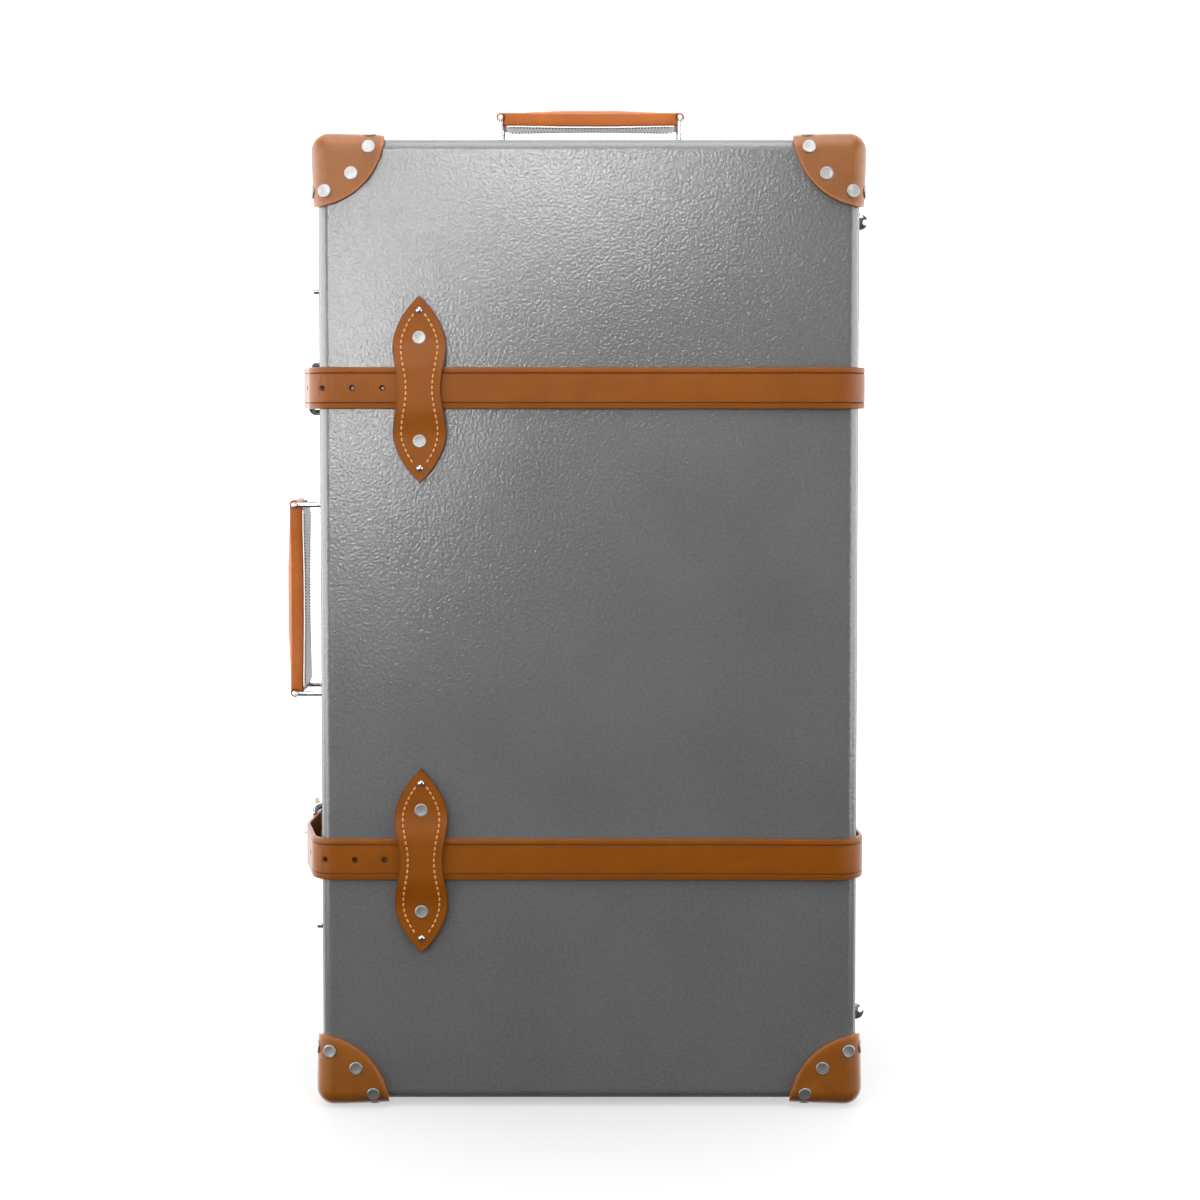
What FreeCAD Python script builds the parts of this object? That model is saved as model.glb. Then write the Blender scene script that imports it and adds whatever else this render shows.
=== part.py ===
"""Upright fibreboard suitcase with leather corners, straps, keepers and handles.

Frame: +Z up, the case stands on its lower short end, the lid faces -Y, the hinges are on the +X side.
The origin is under the middle of the whole object's box, in the plane of the lower corners. The pieces are
drawn about the middle of the case, and all move towards the hinges by half of what the side handle adds.
"""
import FreeCAD, Part
import math
import os
import Sketcher
from FreeCAD import Placement, Rotation, Vector

# Driving dimensions, millimetres and degrees
SIZES = {
    "case_width": 468,
    "case_height": 838,
    "case_depth": 248,
    "case_offset": 21.8,
    "lid_depth": 104,
    "parting_gap": 0.4,
    "wall": 3,
    "edge_radius": 10,
    "corner_radius": 14,
    "corner_thickness": 6,
    "corner_sphere": 66,
    "corner_sphere_out": 7.6,
    "seat_gap": 0.05,
    "frame_thickness": 8,
    "frame_depth": 24,
    "lip_height": 6,
    "lip_clearance": 0.6,
    "lip_thickness": 5,
    "lid_frame_start": 7,
    "lining_thickness": 1,
    "rivet_head_radius": 5.75,
    "rivet_head_height": 1.2,
    "rivet_shank_radius": 1.7,
    "rivet_shank_relief": 0.4,
    "standing_shank_relief": 1.5,
    "rivet_near": 7,
    "rivet_far": 45.2,
    "rivet_middle": 30.2,
    "nail_radius": 2.9,
    "nail_height": 1.8,
    "pin_head_radius": 2.6,
    "pin_head_height": 0.9,
    "strap_spacing": 410,
    "strap_width": 35,
    "strap_thickness": 3.6,
    "strap_gap": 0.1,
    "strap_hole_radius": 2.6,
    "strap_hole_first": -229.9,
    "strap_hole_pitch": 26,
    "keeper_position": -146,
    "keeper_height": 160,
    "keeper_lobe": 46,
    "keeper_lobe_height": 38,
    "keeper_waist": 39.6,
    "keeper_thickness": 3.6,
    "keeper_rivet": 44.6,
    "keeper_nail": 68,
    "foot_radius": 9.5,
    "foot_height": 12.5,
    "foot_flange": 3,
    "foot_from_end": 68,
    "foot_from_face": 38,
    "hinge_spacing": 285,
    "hinge_axis_out": 6.5,
    "hinge_length": 50,
    "hinge_leaf_width": 26,
    "hinge_leaf_thickness": 1.6,
    "hinge_knuckle_radius": 4.5,
    "hinge_middle_knuckle": 15.6,
    "hinge_pin_radius": 2,
    "hinge_clearance": 0.05,
    "lock_spacing": 552,
    "lock_length": 54,
    "lock_width": 38,
    "lock_plate": 1.6,
    "lock_border": 4,
    "lock_height": 8.5,
    "lock_slot_length": 14,
    "lock_slot_width": 7,
    "lock_slot_depth": 4,
    "lock_key_length": 8.8,
    "lock_knob_offset": 19,
    "lock_knob_radius": 3,
    "lock_knob_height": 21,
    "hasp_width": 24,
    "hasp_thickness": 2,
    "hasp_room": 0.4,
    "hasp_neck": 4,
    "hasp_axis_out": 4.6,
    "hasp_axis_from_parting": 8,
    "hasp_reach": 36,
    "hasp_knuckle_radius": 3.1,
    "ring_wire_radius": 2.3,
    "ring_width": 58,
    "side_ring_length": 40,
    "top_ring_length": 34.5,
    "ring_axis_out": 5.5,
    "ring_bend": 6,
    "side_ring_spacing": 178,
    "top_ring_spacing": 167,
    "handle_depth": 42,
    "side_handle_raise": 7.5,
    "plate_barrel_radius": 4.2,
    "plate_barrel_length": 44,
    "plate_length": 54,
    "plate_width": 26,
    "plate_thickness": 1.6,
    "bore_clearance": 0.1,
    "grip_end_width": 43,
    "grip_middle_width": 31,
    "grip_under": 8.7,
    "grip_end_crown": 4.4,
    "grip_middle_crown": 9.6,
    "grip_shoulder": 3.4,
    "buckle_wire_radius": 2.8,
    "buckle_width": 43.6,
    "buckle_bend": 7,
    "buckle_heel_back": 34,
    "buckle_heel_out": 8,
    "buckle_front_out": 22.3,
    "prong_radius": 1.7,
    "prong_eye_length": 5,
    "prong_over": 5,
    "prong_room": 0.9,
    "tail_slot_start": 9,
    "tail_slot_length": 21,
    "tail_end": 86,
}

doc = FreeCAD.newDocument("suitcase")
sheet = doc.addObject("Spreadsheet::Sheet", "dims")
for row, (alias, value) in enumerate(SIZES.items(), start=1):
    sheet.set(f"A{row}", alias)
    sheet.set(f"B{row}", str(value))
    sheet.setAlias(f"B{row}", alias)
doc.recompute()


def size(alias):
    """Read one driving dimension from the sheet."""
    return float(sheet.get(alias))


# Planes of the case that many pieces share
HALF_WIDTH = size("case_width") / 2
HALF_DEPTH = size("case_depth") / 2
FLOOR_GAP = size("corner_thickness")
TOP = FLOOR_GAP + size("case_height")
MIDDLE = FLOOR_GAP + size("case_height") / 2
PARTING = size("lid_depth") - HALF_DEPTH
HALF_GAP = size("parting_gap") / 2
PARTING_OFFSET = "(dims.case_depth / 2 - dims.lid_depth)"
MIDDLE_HEIGHT = "(dims.corner_thickness + dims.case_height / 2)"
BUCKLE_LENGTH = "sqrt(dims.buckle_heel_back ^ 2 + (dims.buckle_front_out - dims.buckle_heel_out) ^ 2)"
LEAST_LINE = 0.0001
NODES = []


def keep(feature, label):
    """Name a finished sub-part and list it for writing."""
    feature.Label = label
    NODES.append(feature)
    return feature


def new_body(name):
    """Start a body."""
    return doc.addObject("PartDesign::Body", name + "_body")


def new_sketch(owner, name, role, offset="0"):
    """Attach a sketch to one of its own body's origin planes, moved along the plane's normal."""
    sketch = owner.newObject("Sketcher::SketchObject", name)
    support = next(item for item in owner.Origin.OriginFeatures if item.Role == role)
    sketch.AttachmentSupport = [(support, "")]
    sketch.MapMode = "FlatFace"
    sketch.setExpression("AttachmentOffset.Base.z", offset)
    return sketch


def bind(sketch, kind, arguments, expression):
    """Add a dimension to a sketch and drive it from the sheet."""
    index = sketch.addConstraint(Sketcher.Constraint(kind, *arguments))
    sketch.setExpression(f"Constraints[{index}]", expression)


def add_rounded_rectangle(sketch, left, bottom, width, height, radius):
    """Draw a rounded rectangle; every argument is an expression on the sheet."""
    probe = [float(sheet.evalExpression(text)) for text in (left, bottom, width, height, radius)]
    x_low, z_low, wide, tall, bend = probe
    x_high = x_low + wide
    z_high = z_low + tall
    lines = [
        (Vector(x_low + bend, z_low), Vector(x_high - bend, z_low)),
        (Vector(x_high, z_low + bend), Vector(x_high, z_high - bend)),
        (Vector(x_high - bend, z_high), Vector(x_low + bend, z_high)),
        (Vector(x_low, z_high - bend), Vector(x_low, z_low + bend)),
    ]
    centres = [
        Vector(x_high - bend, z_low + bend),
        Vector(x_high - bend, z_high - bend),
        Vector(x_low + bend, z_high - bend),
        Vector(x_low + bend, z_low + bend),
    ]
    first = sketch.GeometryCount
    for start, end in lines:
        sketch.addGeometry(Part.LineSegment(start, end))
    for index, centre in enumerate(centres):
        begin = (index - 1) * math.pi / 2
        circle = Part.Circle(centre, Vector(0, 0, 1), bend)
        sketch.addGeometry(Part.ArcOfCircle(circle, begin, begin + math.pi / 2))
    for index in range(4):
        sketch.addConstraint(Sketcher.Constraint("Tangent", first + index, 2, first + 4 + index, 1))
        following = first + (index + 1) % 4
        sketch.addConstraint(Sketcher.Constraint("Tangent", first + 4 + index, 2, following, 1))
        direction = "Horizontal" if index % 2 == 0 else "Vertical"
        sketch.addConstraint(Sketcher.Constraint(direction, first + index))
    for index in range(1, 4):
        sketch.addConstraint(Sketcher.Constraint("Equal", first + 4, first + 4 + index))
    bind(sketch, "Radius", (first + 4, bend), radius)
    bind(sketch, "DistanceX", (first + 3, 1, first + 1, 1, wide), width)
    bind(sketch, "DistanceY", (first, 1, first + 2, 1, tall), height)
    bind(sketch, "DistanceX", (-1, 1, first + 3, 1, x_low), left)
    bind(sketch, "DistanceY", (-1, 1, first, 1, z_low), bottom)


def face_sketch(owner, name, offset, insets):
    """Draw the case's face outline, drawn in by each inset, on a plane across the depth."""
    sketch = new_sketch(owner, name, "XZ_Plane", offset)
    for inset in insets:
        add_rounded_rectangle(
            sketch,
            f"-dims.case_width / 2 + ({inset})",
            f"dims.corner_thickness + ({inset})",
            f"dims.case_width - 2 * ({inset})",
            f"dims.case_height - 2 * ({inset})",
            f"dims.corner_radius - ({inset})",
        )
    return sketch


def pad(owner, name, sketch, length, reverse=False, symmetric=False):
    """Pad a sketch by an expression on the sheet."""
    feature = owner.newObject("PartDesign::Pad", name)
    feature.Profile = sketch
    feature.setExpression("Length", length)
    feature.Reversed = reverse
    if symmetric:
        feature.SideType = "Symmetric"
    return feature


def pocket(owner, name, sketch, length, reverse=False, symmetric=False):
    """Cut a sketch into the body and check that it took material away."""
    doc.recompute()
    before = owner.Shape.Volume
    feature = owner.newObject("PartDesign::Pocket", name)
    feature.Profile = sketch
    feature.setExpression("Length", length)
    feature.Reversed = reverse
    if symmetric:
        feature.SideType = "Symmetric"
    doc.recompute()
    if owner.Shape.Volume >= before:
        raise RuntimeError(f"{name} cuts nothing")
    return feature


def round_edges(owner, name, feature, radius, chosen):
    """Fillet the edges of a feature that a test picks out."""
    doc.recompute()
    picked = [f"Edge{i}" for i, edge in enumerate(feature.Shape.Edges, start=1) if chosen(edge)]
    if not picked:
        raise RuntimeError(f"{name} finds no edge")
    fillet = owner.newObject("PartDesign::Fillet", name)
    fillet.Base = (feature, picked)
    fillet.setExpression("Radius", radius)
    return fillet


def lies_at(axis, place):
    """Make a test for edges that lie wholly in one plane across an axis."""
    def test(edge):
        box = edge.BoundBox
        low, high = {"x": (box.XMin, box.XMax), "y": (box.YMin, box.YMax), "z": (box.ZMin, box.ZMax)}[axis]
        return abs(low - place) < 0.01 and abs(high - place) < 0.01
    return test


def tray(name, offset, length, inset, thickness, radius, reverse):
    """A shallow open box with rounded edges: padded from its mouth, then hollowed."""
    owner = new_body(name)
    start = -float(sheet.evalExpression(offset))
    step = 1 if reverse else -1
    far = start + step * float(sheet.evalExpression(length))
    floor = far - step * size(thickness)
    pad(owner, name + "_outside", face_sketch(owner, name + "_outline", offset, [inset]), length, reverse)
    mouth = face_sketch(owner, name + "_mouth", offset, [f"{inset} + dims.{thickness}"])
    hollow = pocket(owner, name + "_hollow", mouth, f"{length} - dims.{thickness}", not reverse)
    inner_radius = f"{radius} - dims.{thickness}"
    inside = round_edges(owner, name + "_inner_edge", hollow, inner_radius, lies_at("y", floor))
    round_edges(owner, name + "_edge", inside, radius, lies_at("y", far))
    return owner


def rim(name, offset, length, outer, inner, reverse):
    """A rectangular ring that follows the inside of the case."""
    owner = new_body(name)
    pad(owner, name + "_ring", face_sketch(owner, name + "_outline", offset, [outer, inner]), length, reverse)
    return owner


def path_steps(points, radii):
    """Corner data of a polyline with rounded corners: tangent points, centre and turn sense."""
    steps = []
    for before, here, after, radius in zip(points, points[1:], points[2:], radii):
        arrive = (here - before).normalize()
        leave = (after - here).normalize()
        turn = math.atan2(arrive.x * leave.y - arrive.y * leave.x, arrive.dot(leave))
        run = radius * math.tan(abs(turn) / 2)
        sense = 1 if turn > 0 else -1
        normal_in = Vector(-arrive.y, arrive.x)
        normal_out = Vector(-leave.y, leave.x)
        begin = here - arrive * run
        finish = here + leave * run
        centre = begin + normal_in * (radius * sense)
        steps.append((begin, finish, centre, radius, sense, normal_in, normal_out, here))
    return steps


def band_outline(points, radii, thickness):
    """Closed outline of a band of even thickness whose middle line is a rounded polyline."""
    points = [Vector(*point) for point in points]
    steps = path_steps(points, radii)
    first = (points[1] - points[0]).normalize()
    last = (points[-1] - points[-2]).normalize()
    sides = []
    for shift in (thickness / 2, -thickness / 2):
        here = points[0] + Vector(-first.y, first.x) * shift
        edges = []
        for begin, finish, centre, radius, sense, normal_in, normal_out, corner in steps:
            start = begin + normal_in * shift
            end = finish + normal_out * shift
            middle = centre + (corner - centre).normalize() * (radius - sense * shift)
            edges.append((here, start))
            edges.append((start, middle, end))
            here = end
        edges.append((here, points[-1] + Vector(-last.y, last.x) * shift))
        sides.append(edges)
    left, right = sides
    back = [tuple(reversed(edge)) for edge in reversed(right)]
    return left + [(left[-1][-1], back[0][0])] + back + [(back[-1][-1], left[0][0])]


def draw(sketch, edges):
    """Put lines (two points) and arcs (three points) into a sketch, leaving out lines of no length."""
    for edge in edges:
        if len(edge) == 3:
            sketch.addGeometry(Part.ArcOfCircle(*edge))
        elif edge[0].distanceToPoint(edge[1]) > LEAST_LINE:
            sketch.addGeometry(Part.LineSegment(*edge))


def polygon(*corners):
    """Closed outline of straight lines."""
    points = [Vector(*corner) for corner in corners]
    return list(zip(points, points[1:] + points[:1]))


def copies(master, places):
    """Copies of one piece's shape at many places."""
    doc.recompute()
    return [master.Shape.transformed(place.toMatrix()) for place in places]


def group(label, shapes):
    """Like fasteners or fittings of one half, kept as one node of separate solids."""
    feature = doc.addObject("Part::Feature", label + "_group")
    feature.Shape = Part.makeCompound(shapes)
    return keep(feature, label)


def cut(name, base, tool):
    """Part cut of two objects."""
    feature = doc.addObject("Part::Cut", name)
    feature.Base = base
    feature.Tool = tool
    return feature


def seat(point, outward):
    """Placement whose Z axis points outward."""
    return Placement(point, Rotation(Vector(0, 0, 1), outward))


# Shells, frames and linings of the two halves

def build_shells():
    """The two fibreboard trays, parted across the depth."""
    lid = tray(
        "lid_shell", f"{PARTING_OFFSET} + dims.parting_gap / 2", "dims.lid_depth - dims.parting_gap / 2",
        "0", "wall", "dims.edge_radius", False,
    )
    base = tray(
        "base_shell", f"{PARTING_OFFSET} - dims.parting_gap / 2",
        "dims.case_depth - dims.lid_depth - dims.parting_gap / 2",
        "0", "wall", "dims.edge_radius", True,
    )
    keep(lid, "lid_shell")
    keep(base, "base_shell")


def build_frames():
    """Wooden rims inside the mouths; the base rim has a lip that stands into the lid."""
    inset = "(dims.wall + dims.seat_gap)"
    inner = "dims.wall + dims.frame_thickness"
    lid = rim(
        "lid_frame", f"{PARTING_OFFSET} + dims.lid_frame_start", "dims.frame_depth - dims.lid_frame_start",
        inset, inner, False,
    )
    mouth = f"{PARTING_OFFSET} - dims.parting_gap / 2"
    base = rim("base_frame", mouth, "dims.frame_depth", inset, inner, True)
    lip_outer = "dims.wall + dims.lip_clearance"
    lip = face_sketch(
        base, "base_lip_outline", mouth, [lip_outer, f"{lip_outer} + dims.lip_thickness"],
    )
    pad(base, "base_lip", lip, "dims.lip_height + dims.parting_gap / 2")
    keep(lid, "lid_frame")
    keep(base, "base_frame")


def build_linings():
    """Thin linings glued inside the trays, from the frames to the floors."""
    inset = "(dims.wall + dims.seat_gap)"
    radius = "dims.edge_radius - dims.wall - dims.seat_gap"
    lid = tray(
        "lid_lining", f"{PARTING_OFFSET} + dims.frame_depth + dims.seat_gap",
        f"dims.lid_depth - dims.frame_depth - {inset} - dims.seat_gap",
        inset, "lining_thickness", radius, False,
    )
    rim_end = "dims.frame_depth + dims.parting_gap / 2 + dims.seat_gap"
    base = tray(
        "base_lining", f"{PARTING_OFFSET} - ({rim_end})",
        f"dims.case_depth - dims.lid_depth - ({rim_end}) - {inset}",
        inset, "lining_thickness", radius, True,
    )
    keep(lid, "lid_lining")
    keep(base, "base_lining")


# Moulded leather corners and their rivets

def rounded_block(name, grow):
    """The closed case as one block, grown outward on every side."""
    owner = new_body(name)
    outline = face_sketch(owner, name + "_outline", "0", [f"-({grow})"])
    block = pad(owner, name + "_pad", outline, f"dims.case_depth + 2 * ({grow})", symmetric=True)
    far = HALF_DEPTH + float(sheet.evalExpression(grow))
    round_edges(
        owner, name + "_edge", block, f"dims.edge_radius + ({grow})",
        lambda edge: lies_at("y", far)(edge) or lies_at("y", -far)(edge),
    )
    return owner


def build_corners():
    """Eight caps: the skin of leather over the case that lies inside a ball set just off each corner."""
    outer = rounded_block("corner_outer", "dims.corner_thickness")
    inner = rounded_block("corner_inner", "dims.seat_gap")
    for half, depth_sign in (("lid", -1), ("base", 1)):
        for level, height_sign in (("top", 1), ("bottom", -1)):
            for side, width_sign in (("left", -1), ("right", 1)):
                label = f"{half}_corner_{level}_{side}"
                ball = doc.addObject("Part::Sphere", label + "_ball")
                ball.setExpression("Radius", "dims.corner_sphere")
                out = "dims.corner_sphere_out"
                ball.setExpression("Placement.Base.x", f"{width_sign} * (dims.case_width / 2 + {out})")
                ball.setExpression("Placement.Base.y", f"{depth_sign} * (dims.case_depth / 2 + {out})")
                reach = f"(dims.case_height / 2 + {out})"
                ball.setExpression("Placement.Base.z", f"{MIDDLE_HEIGHT} + {height_sign} * {reach}")
                skin = doc.addObject("Part::Common", label + "_skin")
                skin.Base = outer
                skin.Tool = ball
                keep(cut(label + "_cap", skin, inner), label)


def rivet_master(name, grip):
    """A flat round head with a shank that goes through leather and board; grip is an expression."""
    head = doc.addObject("Part::Prism", name + "_head")
    head.Polygon = 12
    head.setExpression("Circumradius", "dims.rivet_head_radius")
    head.setExpression("Height", "dims.rivet_head_height")
    shank = doc.addObject("Part::Prism", name + "_shank")
    shank.Polygon = 6
    shank.setExpression("Circumradius", "dims.rivet_shank_radius")
    shank.setExpression("Height", grip)
    shank.setExpression("Placement.Base.z", f"-({grip})")
    rivet = doc.addObject("Part::Fuse", name)
    rivet.Base = head
    rivet.Tool = shank
    return rivet


def corner_rivet_places(depth_sign, standing):
    """Three rivets on each face of a half's four corners: the faces that it stands on, or the others."""
    near = size("rivet_near")
    far = size("rivet_far")
    middle = size("rivet_middle")
    thickness = size("corner_thickness")
    spots = [(far, near), (middle, middle), (near, far)]
    half = Vector(HALF_WIDTH, HALF_DEPTH, size("case_height") / 2)
    places = []
    for height_sign in (1, -1):
        for width_sign in (-1, 1):
            axes = [Vector(width_sign, 0, 0), Vector(0, depth_sign, 0), Vector(0, 0, height_sign)]
            corner = Vector(0, 0, MIDDLE)
            for axis in axes:
                corner += Vector(axis.x * half.x, axis.y * half.y, axis.z * half.z)
            for index, normal in enumerate(axes):
                if (normal.z < -0.5) != standing:
                    continue
                others = [axis for place, axis in enumerate(axes) if place != index]
                for inset in spots:
                    places.append(rivet_seat(corner, normal, others, inset, thickness))
    return places


def rivet_seat(corner, normal, edges, inset, thickness):
    """Seat a rivet on a corner, leaning over its rounded edges, and sunk where the case stands on it."""
    outward = Vector(normal)
    point = corner + normal * thickness
    for edge, distance in zip(edges, inset):
        along_depth = abs(edge.y) + abs(normal.y) > 0.5
        radius = thickness + (size("edge_radius") if along_depth else size("corner_radius"))
        lean = max(0.0, 1 - (distance + thickness) / radius)
        drop = radius * (1 - math.sqrt(1 - lean * lean))
        outward += edge * lean
        point -= edge * distance + normal * drop
    outward.normalize()
    if normal.z < -0.5:
        tilt = math.hypot(outward.x, outward.y)
        point -= outward * (size("rivet_head_height") + size("rivet_head_radius") * tilt)
    return seat(point, outward)


# Strap keepers and their fasteners

def keeper(label, depth_sign, height):
    """A spectacle-shaped leather keeper, bent over the strap and flat on the case at both ends."""
    half = size("keeper_height") / 2
    lobe = size("keeper_lobe") / 2
    lobe_height = size("keeper_lobe_height")
    waist = size("keeper_waist") / 2
    neck = Vector((lobe + waist) / 2, lobe_height / 2)
    shoulder = Vector(0.72 * lobe, 0.75 * half)
    quarter = [
        (Vector(0, half), shoulder, Vector(lobe, lobe_height)),
        (Vector(lobe, lobe_height), Vector(lobe - (lobe - waist) / 8, 0.75 * lobe_height), neck),
    ]
    waist_arc = (neck, Vector(waist, 0), Vector(neck.x, -neck.y))
    lower = [tuple(Vector(p.x, -p.y) for p in reversed(arc)) for arc in reversed(quarter)]
    right = quarter + [waist_arc] + lower
    left = [tuple(Vector(-p.x, p.y) for p in reversed(arc)) for arc in reversed(right)]
    front = new_body(label + "_front")
    outline = new_sketch(front, label + "_outline", "XZ_Plane")
    draw(outline, right + left)
    pad(front, label + "_plate", outline, "4 * dims.keeper_thickness")
    side = new_body(label + "_side")
    profile = new_sketch(side, label + "_profile", "YZ_Plane")
    thickness = size("keeper_thickness")
    flat = size("seat_gap") + thickness / 2
    raised = flat + size("strap_thickness") + 3 * size("strap_gap")
    inner = size("strap_width") / 2 + 2.5
    outer = inner + 6.5
    points = [
        (-flat, -half - 2), (-flat, -outer), (-raised, -inner),
        (-raised, inner), (-flat, outer), (-flat, half + 2),
    ]
    draw(profile, band_outline(points, [5, 5, 5, 5], thickness))
    pad(side, label + "_band", profile, "dims.keeper_lobe + 4", symmetric=True)
    feature = doc.addObject("Part::Common", label + "_leather")
    feature.Base = front
    feature.Tool = side
    turn = Rotation() if depth_sign < 0 else Rotation(Vector(0, 0, 1), 180)
    feature.Placement = Placement(Vector(size("keeper_position"), depth_sign * HALF_DEPTH, height), turn)
    keep(feature, label)


def keeper_fastener_places(depth_sign, offset):
    """Places above and below the middle of the two keepers on one face."""
    surface = HALF_DEPTH + size("seat_gap") + size("keeper_thickness")
    outward = Vector(0, depth_sign, 0)
    return [
        seat(Vector(size("keeper_position"), depth_sign * surface, height + sign * offset), outward)
        for level, height in strap_heights()
        for sign in (1, -1)
    ]


def revolved(name, edges):
    """A turned piece from a half profile in the XZ plane."""
    owner = new_body(name)
    sketch = new_sketch(owner, name + "_profile", "XZ_Plane")
    draw(sketch, edges)
    turned = owner.newObject("PartDesign::Revolution", name + "_turned")
    turned.Profile = sketch
    turned.ReferenceAxis = (sketch, ["V_Axis"])
    turned.Angle = 360
    return owner


def dome(name, radius, height, rim_height):
    """Half profile of a head with a ball-shaped top on a short cylindrical rim, turned about its axis."""
    rise = height - rim_height
    ball = (radius * radius + rise * rise) / (2 * rise)
    centre = height - ball
    halfway = (math.atan2(rim_height - centre, radius) + math.pi / 2) / 2
    bulge = Vector(ball * math.cos(halfway), centre + ball * math.sin(halfway))
    edges = [
        (Vector(0, 0), Vector(radius, 0)),
        (Vector(radius, 0), Vector(radius, rim_height)),
        (Vector(radius, rim_height), bulge, Vector(0, height)),
        (Vector(0, height), Vector(0, 0)),
    ]
    return revolved(name, edges)


def strap_heights():
    """Heights of the two straps."""
    return [("upper", MIDDLE + size("strap_spacing") / 2), ("lower", MIDDLE - size("strap_spacing") / 2)]


def build_keepers():
    """Two keepers on the front and two on the back."""
    for face, depth_sign in (("front", -1), ("back", 1)):
        for level, height in strap_heights():
            keeper(f"{face}_keeper_{level}", depth_sign, height)


# Straps, buckles and prongs

def strap_expression(level):
    """Height of a strap as an expression on the sheet."""
    sign = "+" if level == "upper" else "-"
    return f"{MIDDLE_HEIGHT} {sign} dims.strap_spacing / 2"


def side_x(out):
    """X of a point that stands out from the left side."""
    return -HALF_WIDTH - out


def strap_levels():
    """Middle line of a strap off the case, and the bend radius at the case's edges."""
    out = size("strap_gap") + size("strap_thickness") / 2
    return out, size("edge_radius") + out


def lid_strap(level, height):
    """From the hinge side over the front and round the left edge to the buckle, with punched holes."""
    label = f"strap_{level}_lid"
    out, bend = strap_levels()
    right = HALF_WIDTH + out
    front = -HALF_DEPTH - out
    points = [
        (right, PARTING - HALF_GAP), (right, front), (side_x(4), front),
        (side_x(20.5), PARTING - 42), (side_x(17.2), PARTING - HALF_GAP),
    ]
    owner = new_body(label)
    outline = new_sketch(owner, label + "_outline", "XY_Plane", strap_expression(level))
    draw(outline, band_outline(points, [bend, 14, 45], size("strap_thickness")))
    pad(owner, label + "_leather", outline, "dims.strap_width", symmetric=True)
    holes = new_sketch(owner, label + "_holes", "XZ_Plane", "dims.case_depth / 2")
    for index in range(3):
        place = size("strap_hole_first") + index * size("strap_hole_pitch")
        centre = Vector(place, height)
        circle = holes.addGeometry(Part.Circle(centre, Vector(0, 0, 1), size("strap_hole_radius")))
        bind(holes, "Radius", (circle, size("strap_hole_radius")), "dims.strap_hole_radius")
    pocket(owner, label + "_punched", holes, "4 * dims.strap_thickness", symmetric=True)
    keep(owner, label)


def base_strap(level):
    """From the hinge side over the back to the left side, turned back round the buckle's heel bar."""
    label = f"strap_{level}_base"
    out, bend = strap_levels()
    right = HALF_WIDTH + out
    back = HALF_DEPTH + out
    heel = PARTING + size("buckle_heel_back")
    heel_out = size("buckle_heel_out")
    fold = size("buckle_wire_radius") + 2 * size("bore_clearance") + size("strap_thickness") / 2
    points = [
        (right, PARTING + HALF_GAP), (right, back), (side_x(out), back),
        (side_x(out), heel + 50), (side_x(heel_out + fold), heel + 6), (side_x(heel_out + fold), heel - fold),
        (side_x(heel_out - fold), heel - fold), (side_x(heel_out - fold), heel + 4), (side_x(out), heel + 28),
    ]
    owner = new_body(label)
    outline = new_sketch(owner, label + "_outline", "XY_Plane", strap_expression(level))
    draw(outline, band_outline(points, [bend, bend, 30, 15, fold, fold, 10], size("strap_thickness")))
    pad(owner, label + "_leather", outline, "dims.strap_width", symmetric=True)
    slot = new_sketch(owner, label + "_slot", "XY_Plane", strap_expression(level))
    draw(slot, polygon(
        (side_x(-1), heel - 10), (side_x(-1), heel + 7), (side_x(heel_out + 10), heel + 7),
        (side_x(heel_out + 10), heel - 10),
    ))
    pocket(owner, label + "_prong_slot", slot, "dims.prong_eye_length + 1.4", symmetric=True)
    keep(owner, label)


def strap_tail(level, height):
    """The strap's end past the buckle's front bar, lifting off the case to a rounded point."""
    label = f"strap_{level}_tail"
    end = PARTING + size("tail_end")
    points = [
        (side_x(17.2), PARTING + HALF_GAP), (side_x(18.6), PARTING + 26),
        (side_x(29), PARTING + 62), (side_x(31.5), end),
    ]
    owner = new_body(label)
    outline = new_sketch(owner, label + "_outline", "XY_Plane", strap_expression(level))
    draw(outline, band_outline(points, [60, 50], size("strap_thickness")))
    pad(owner, label + "_leather", outline, "dims.strap_width", symmetric=True)
    half = size("strap_width") / 2
    trim = new_sketch(owner, label + "_point", "YZ_Plane", "-dims.case_width / 2 - 30")
    for sign in (1, -1):
        tip = Vector(end - 1, height)
        edge = Vector(end - 24, height + sign * half)
        bulge = Vector(end - 8, height + sign * 0.62 * half)
        outside = Vector(end - 24, height + sign * (half + 2))
        corner = Vector(end + 3, height + sign * (half + 2))
        point = Vector(end + 3, height)
        draw(trim, [
            (tip, bulge, edge), (edge, outside), (outside, corner), (corner, point), (point, tip),
        ])
    pocket(owner, label + "_trimmed", trim, "60", symmetric=True)
    slot = new_sketch(owner, label + "_slot", "YZ_Plane", "-dims.case_width / 2 - 18")
    add_rounded_rectangle(
        slot, f"-{PARTING_OFFSET} + dims.tail_slot_start",
        f"{strap_expression(level)} - dims.prong_radius - dims.prong_room",
        "dims.tail_slot_length", "2 * (dims.prong_radius + dims.prong_room)", "dims.prong_radius",
    )
    pocket(owner, label + "_hole", slot, "16", symmetric=True)
    keep(owner, label)


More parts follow.
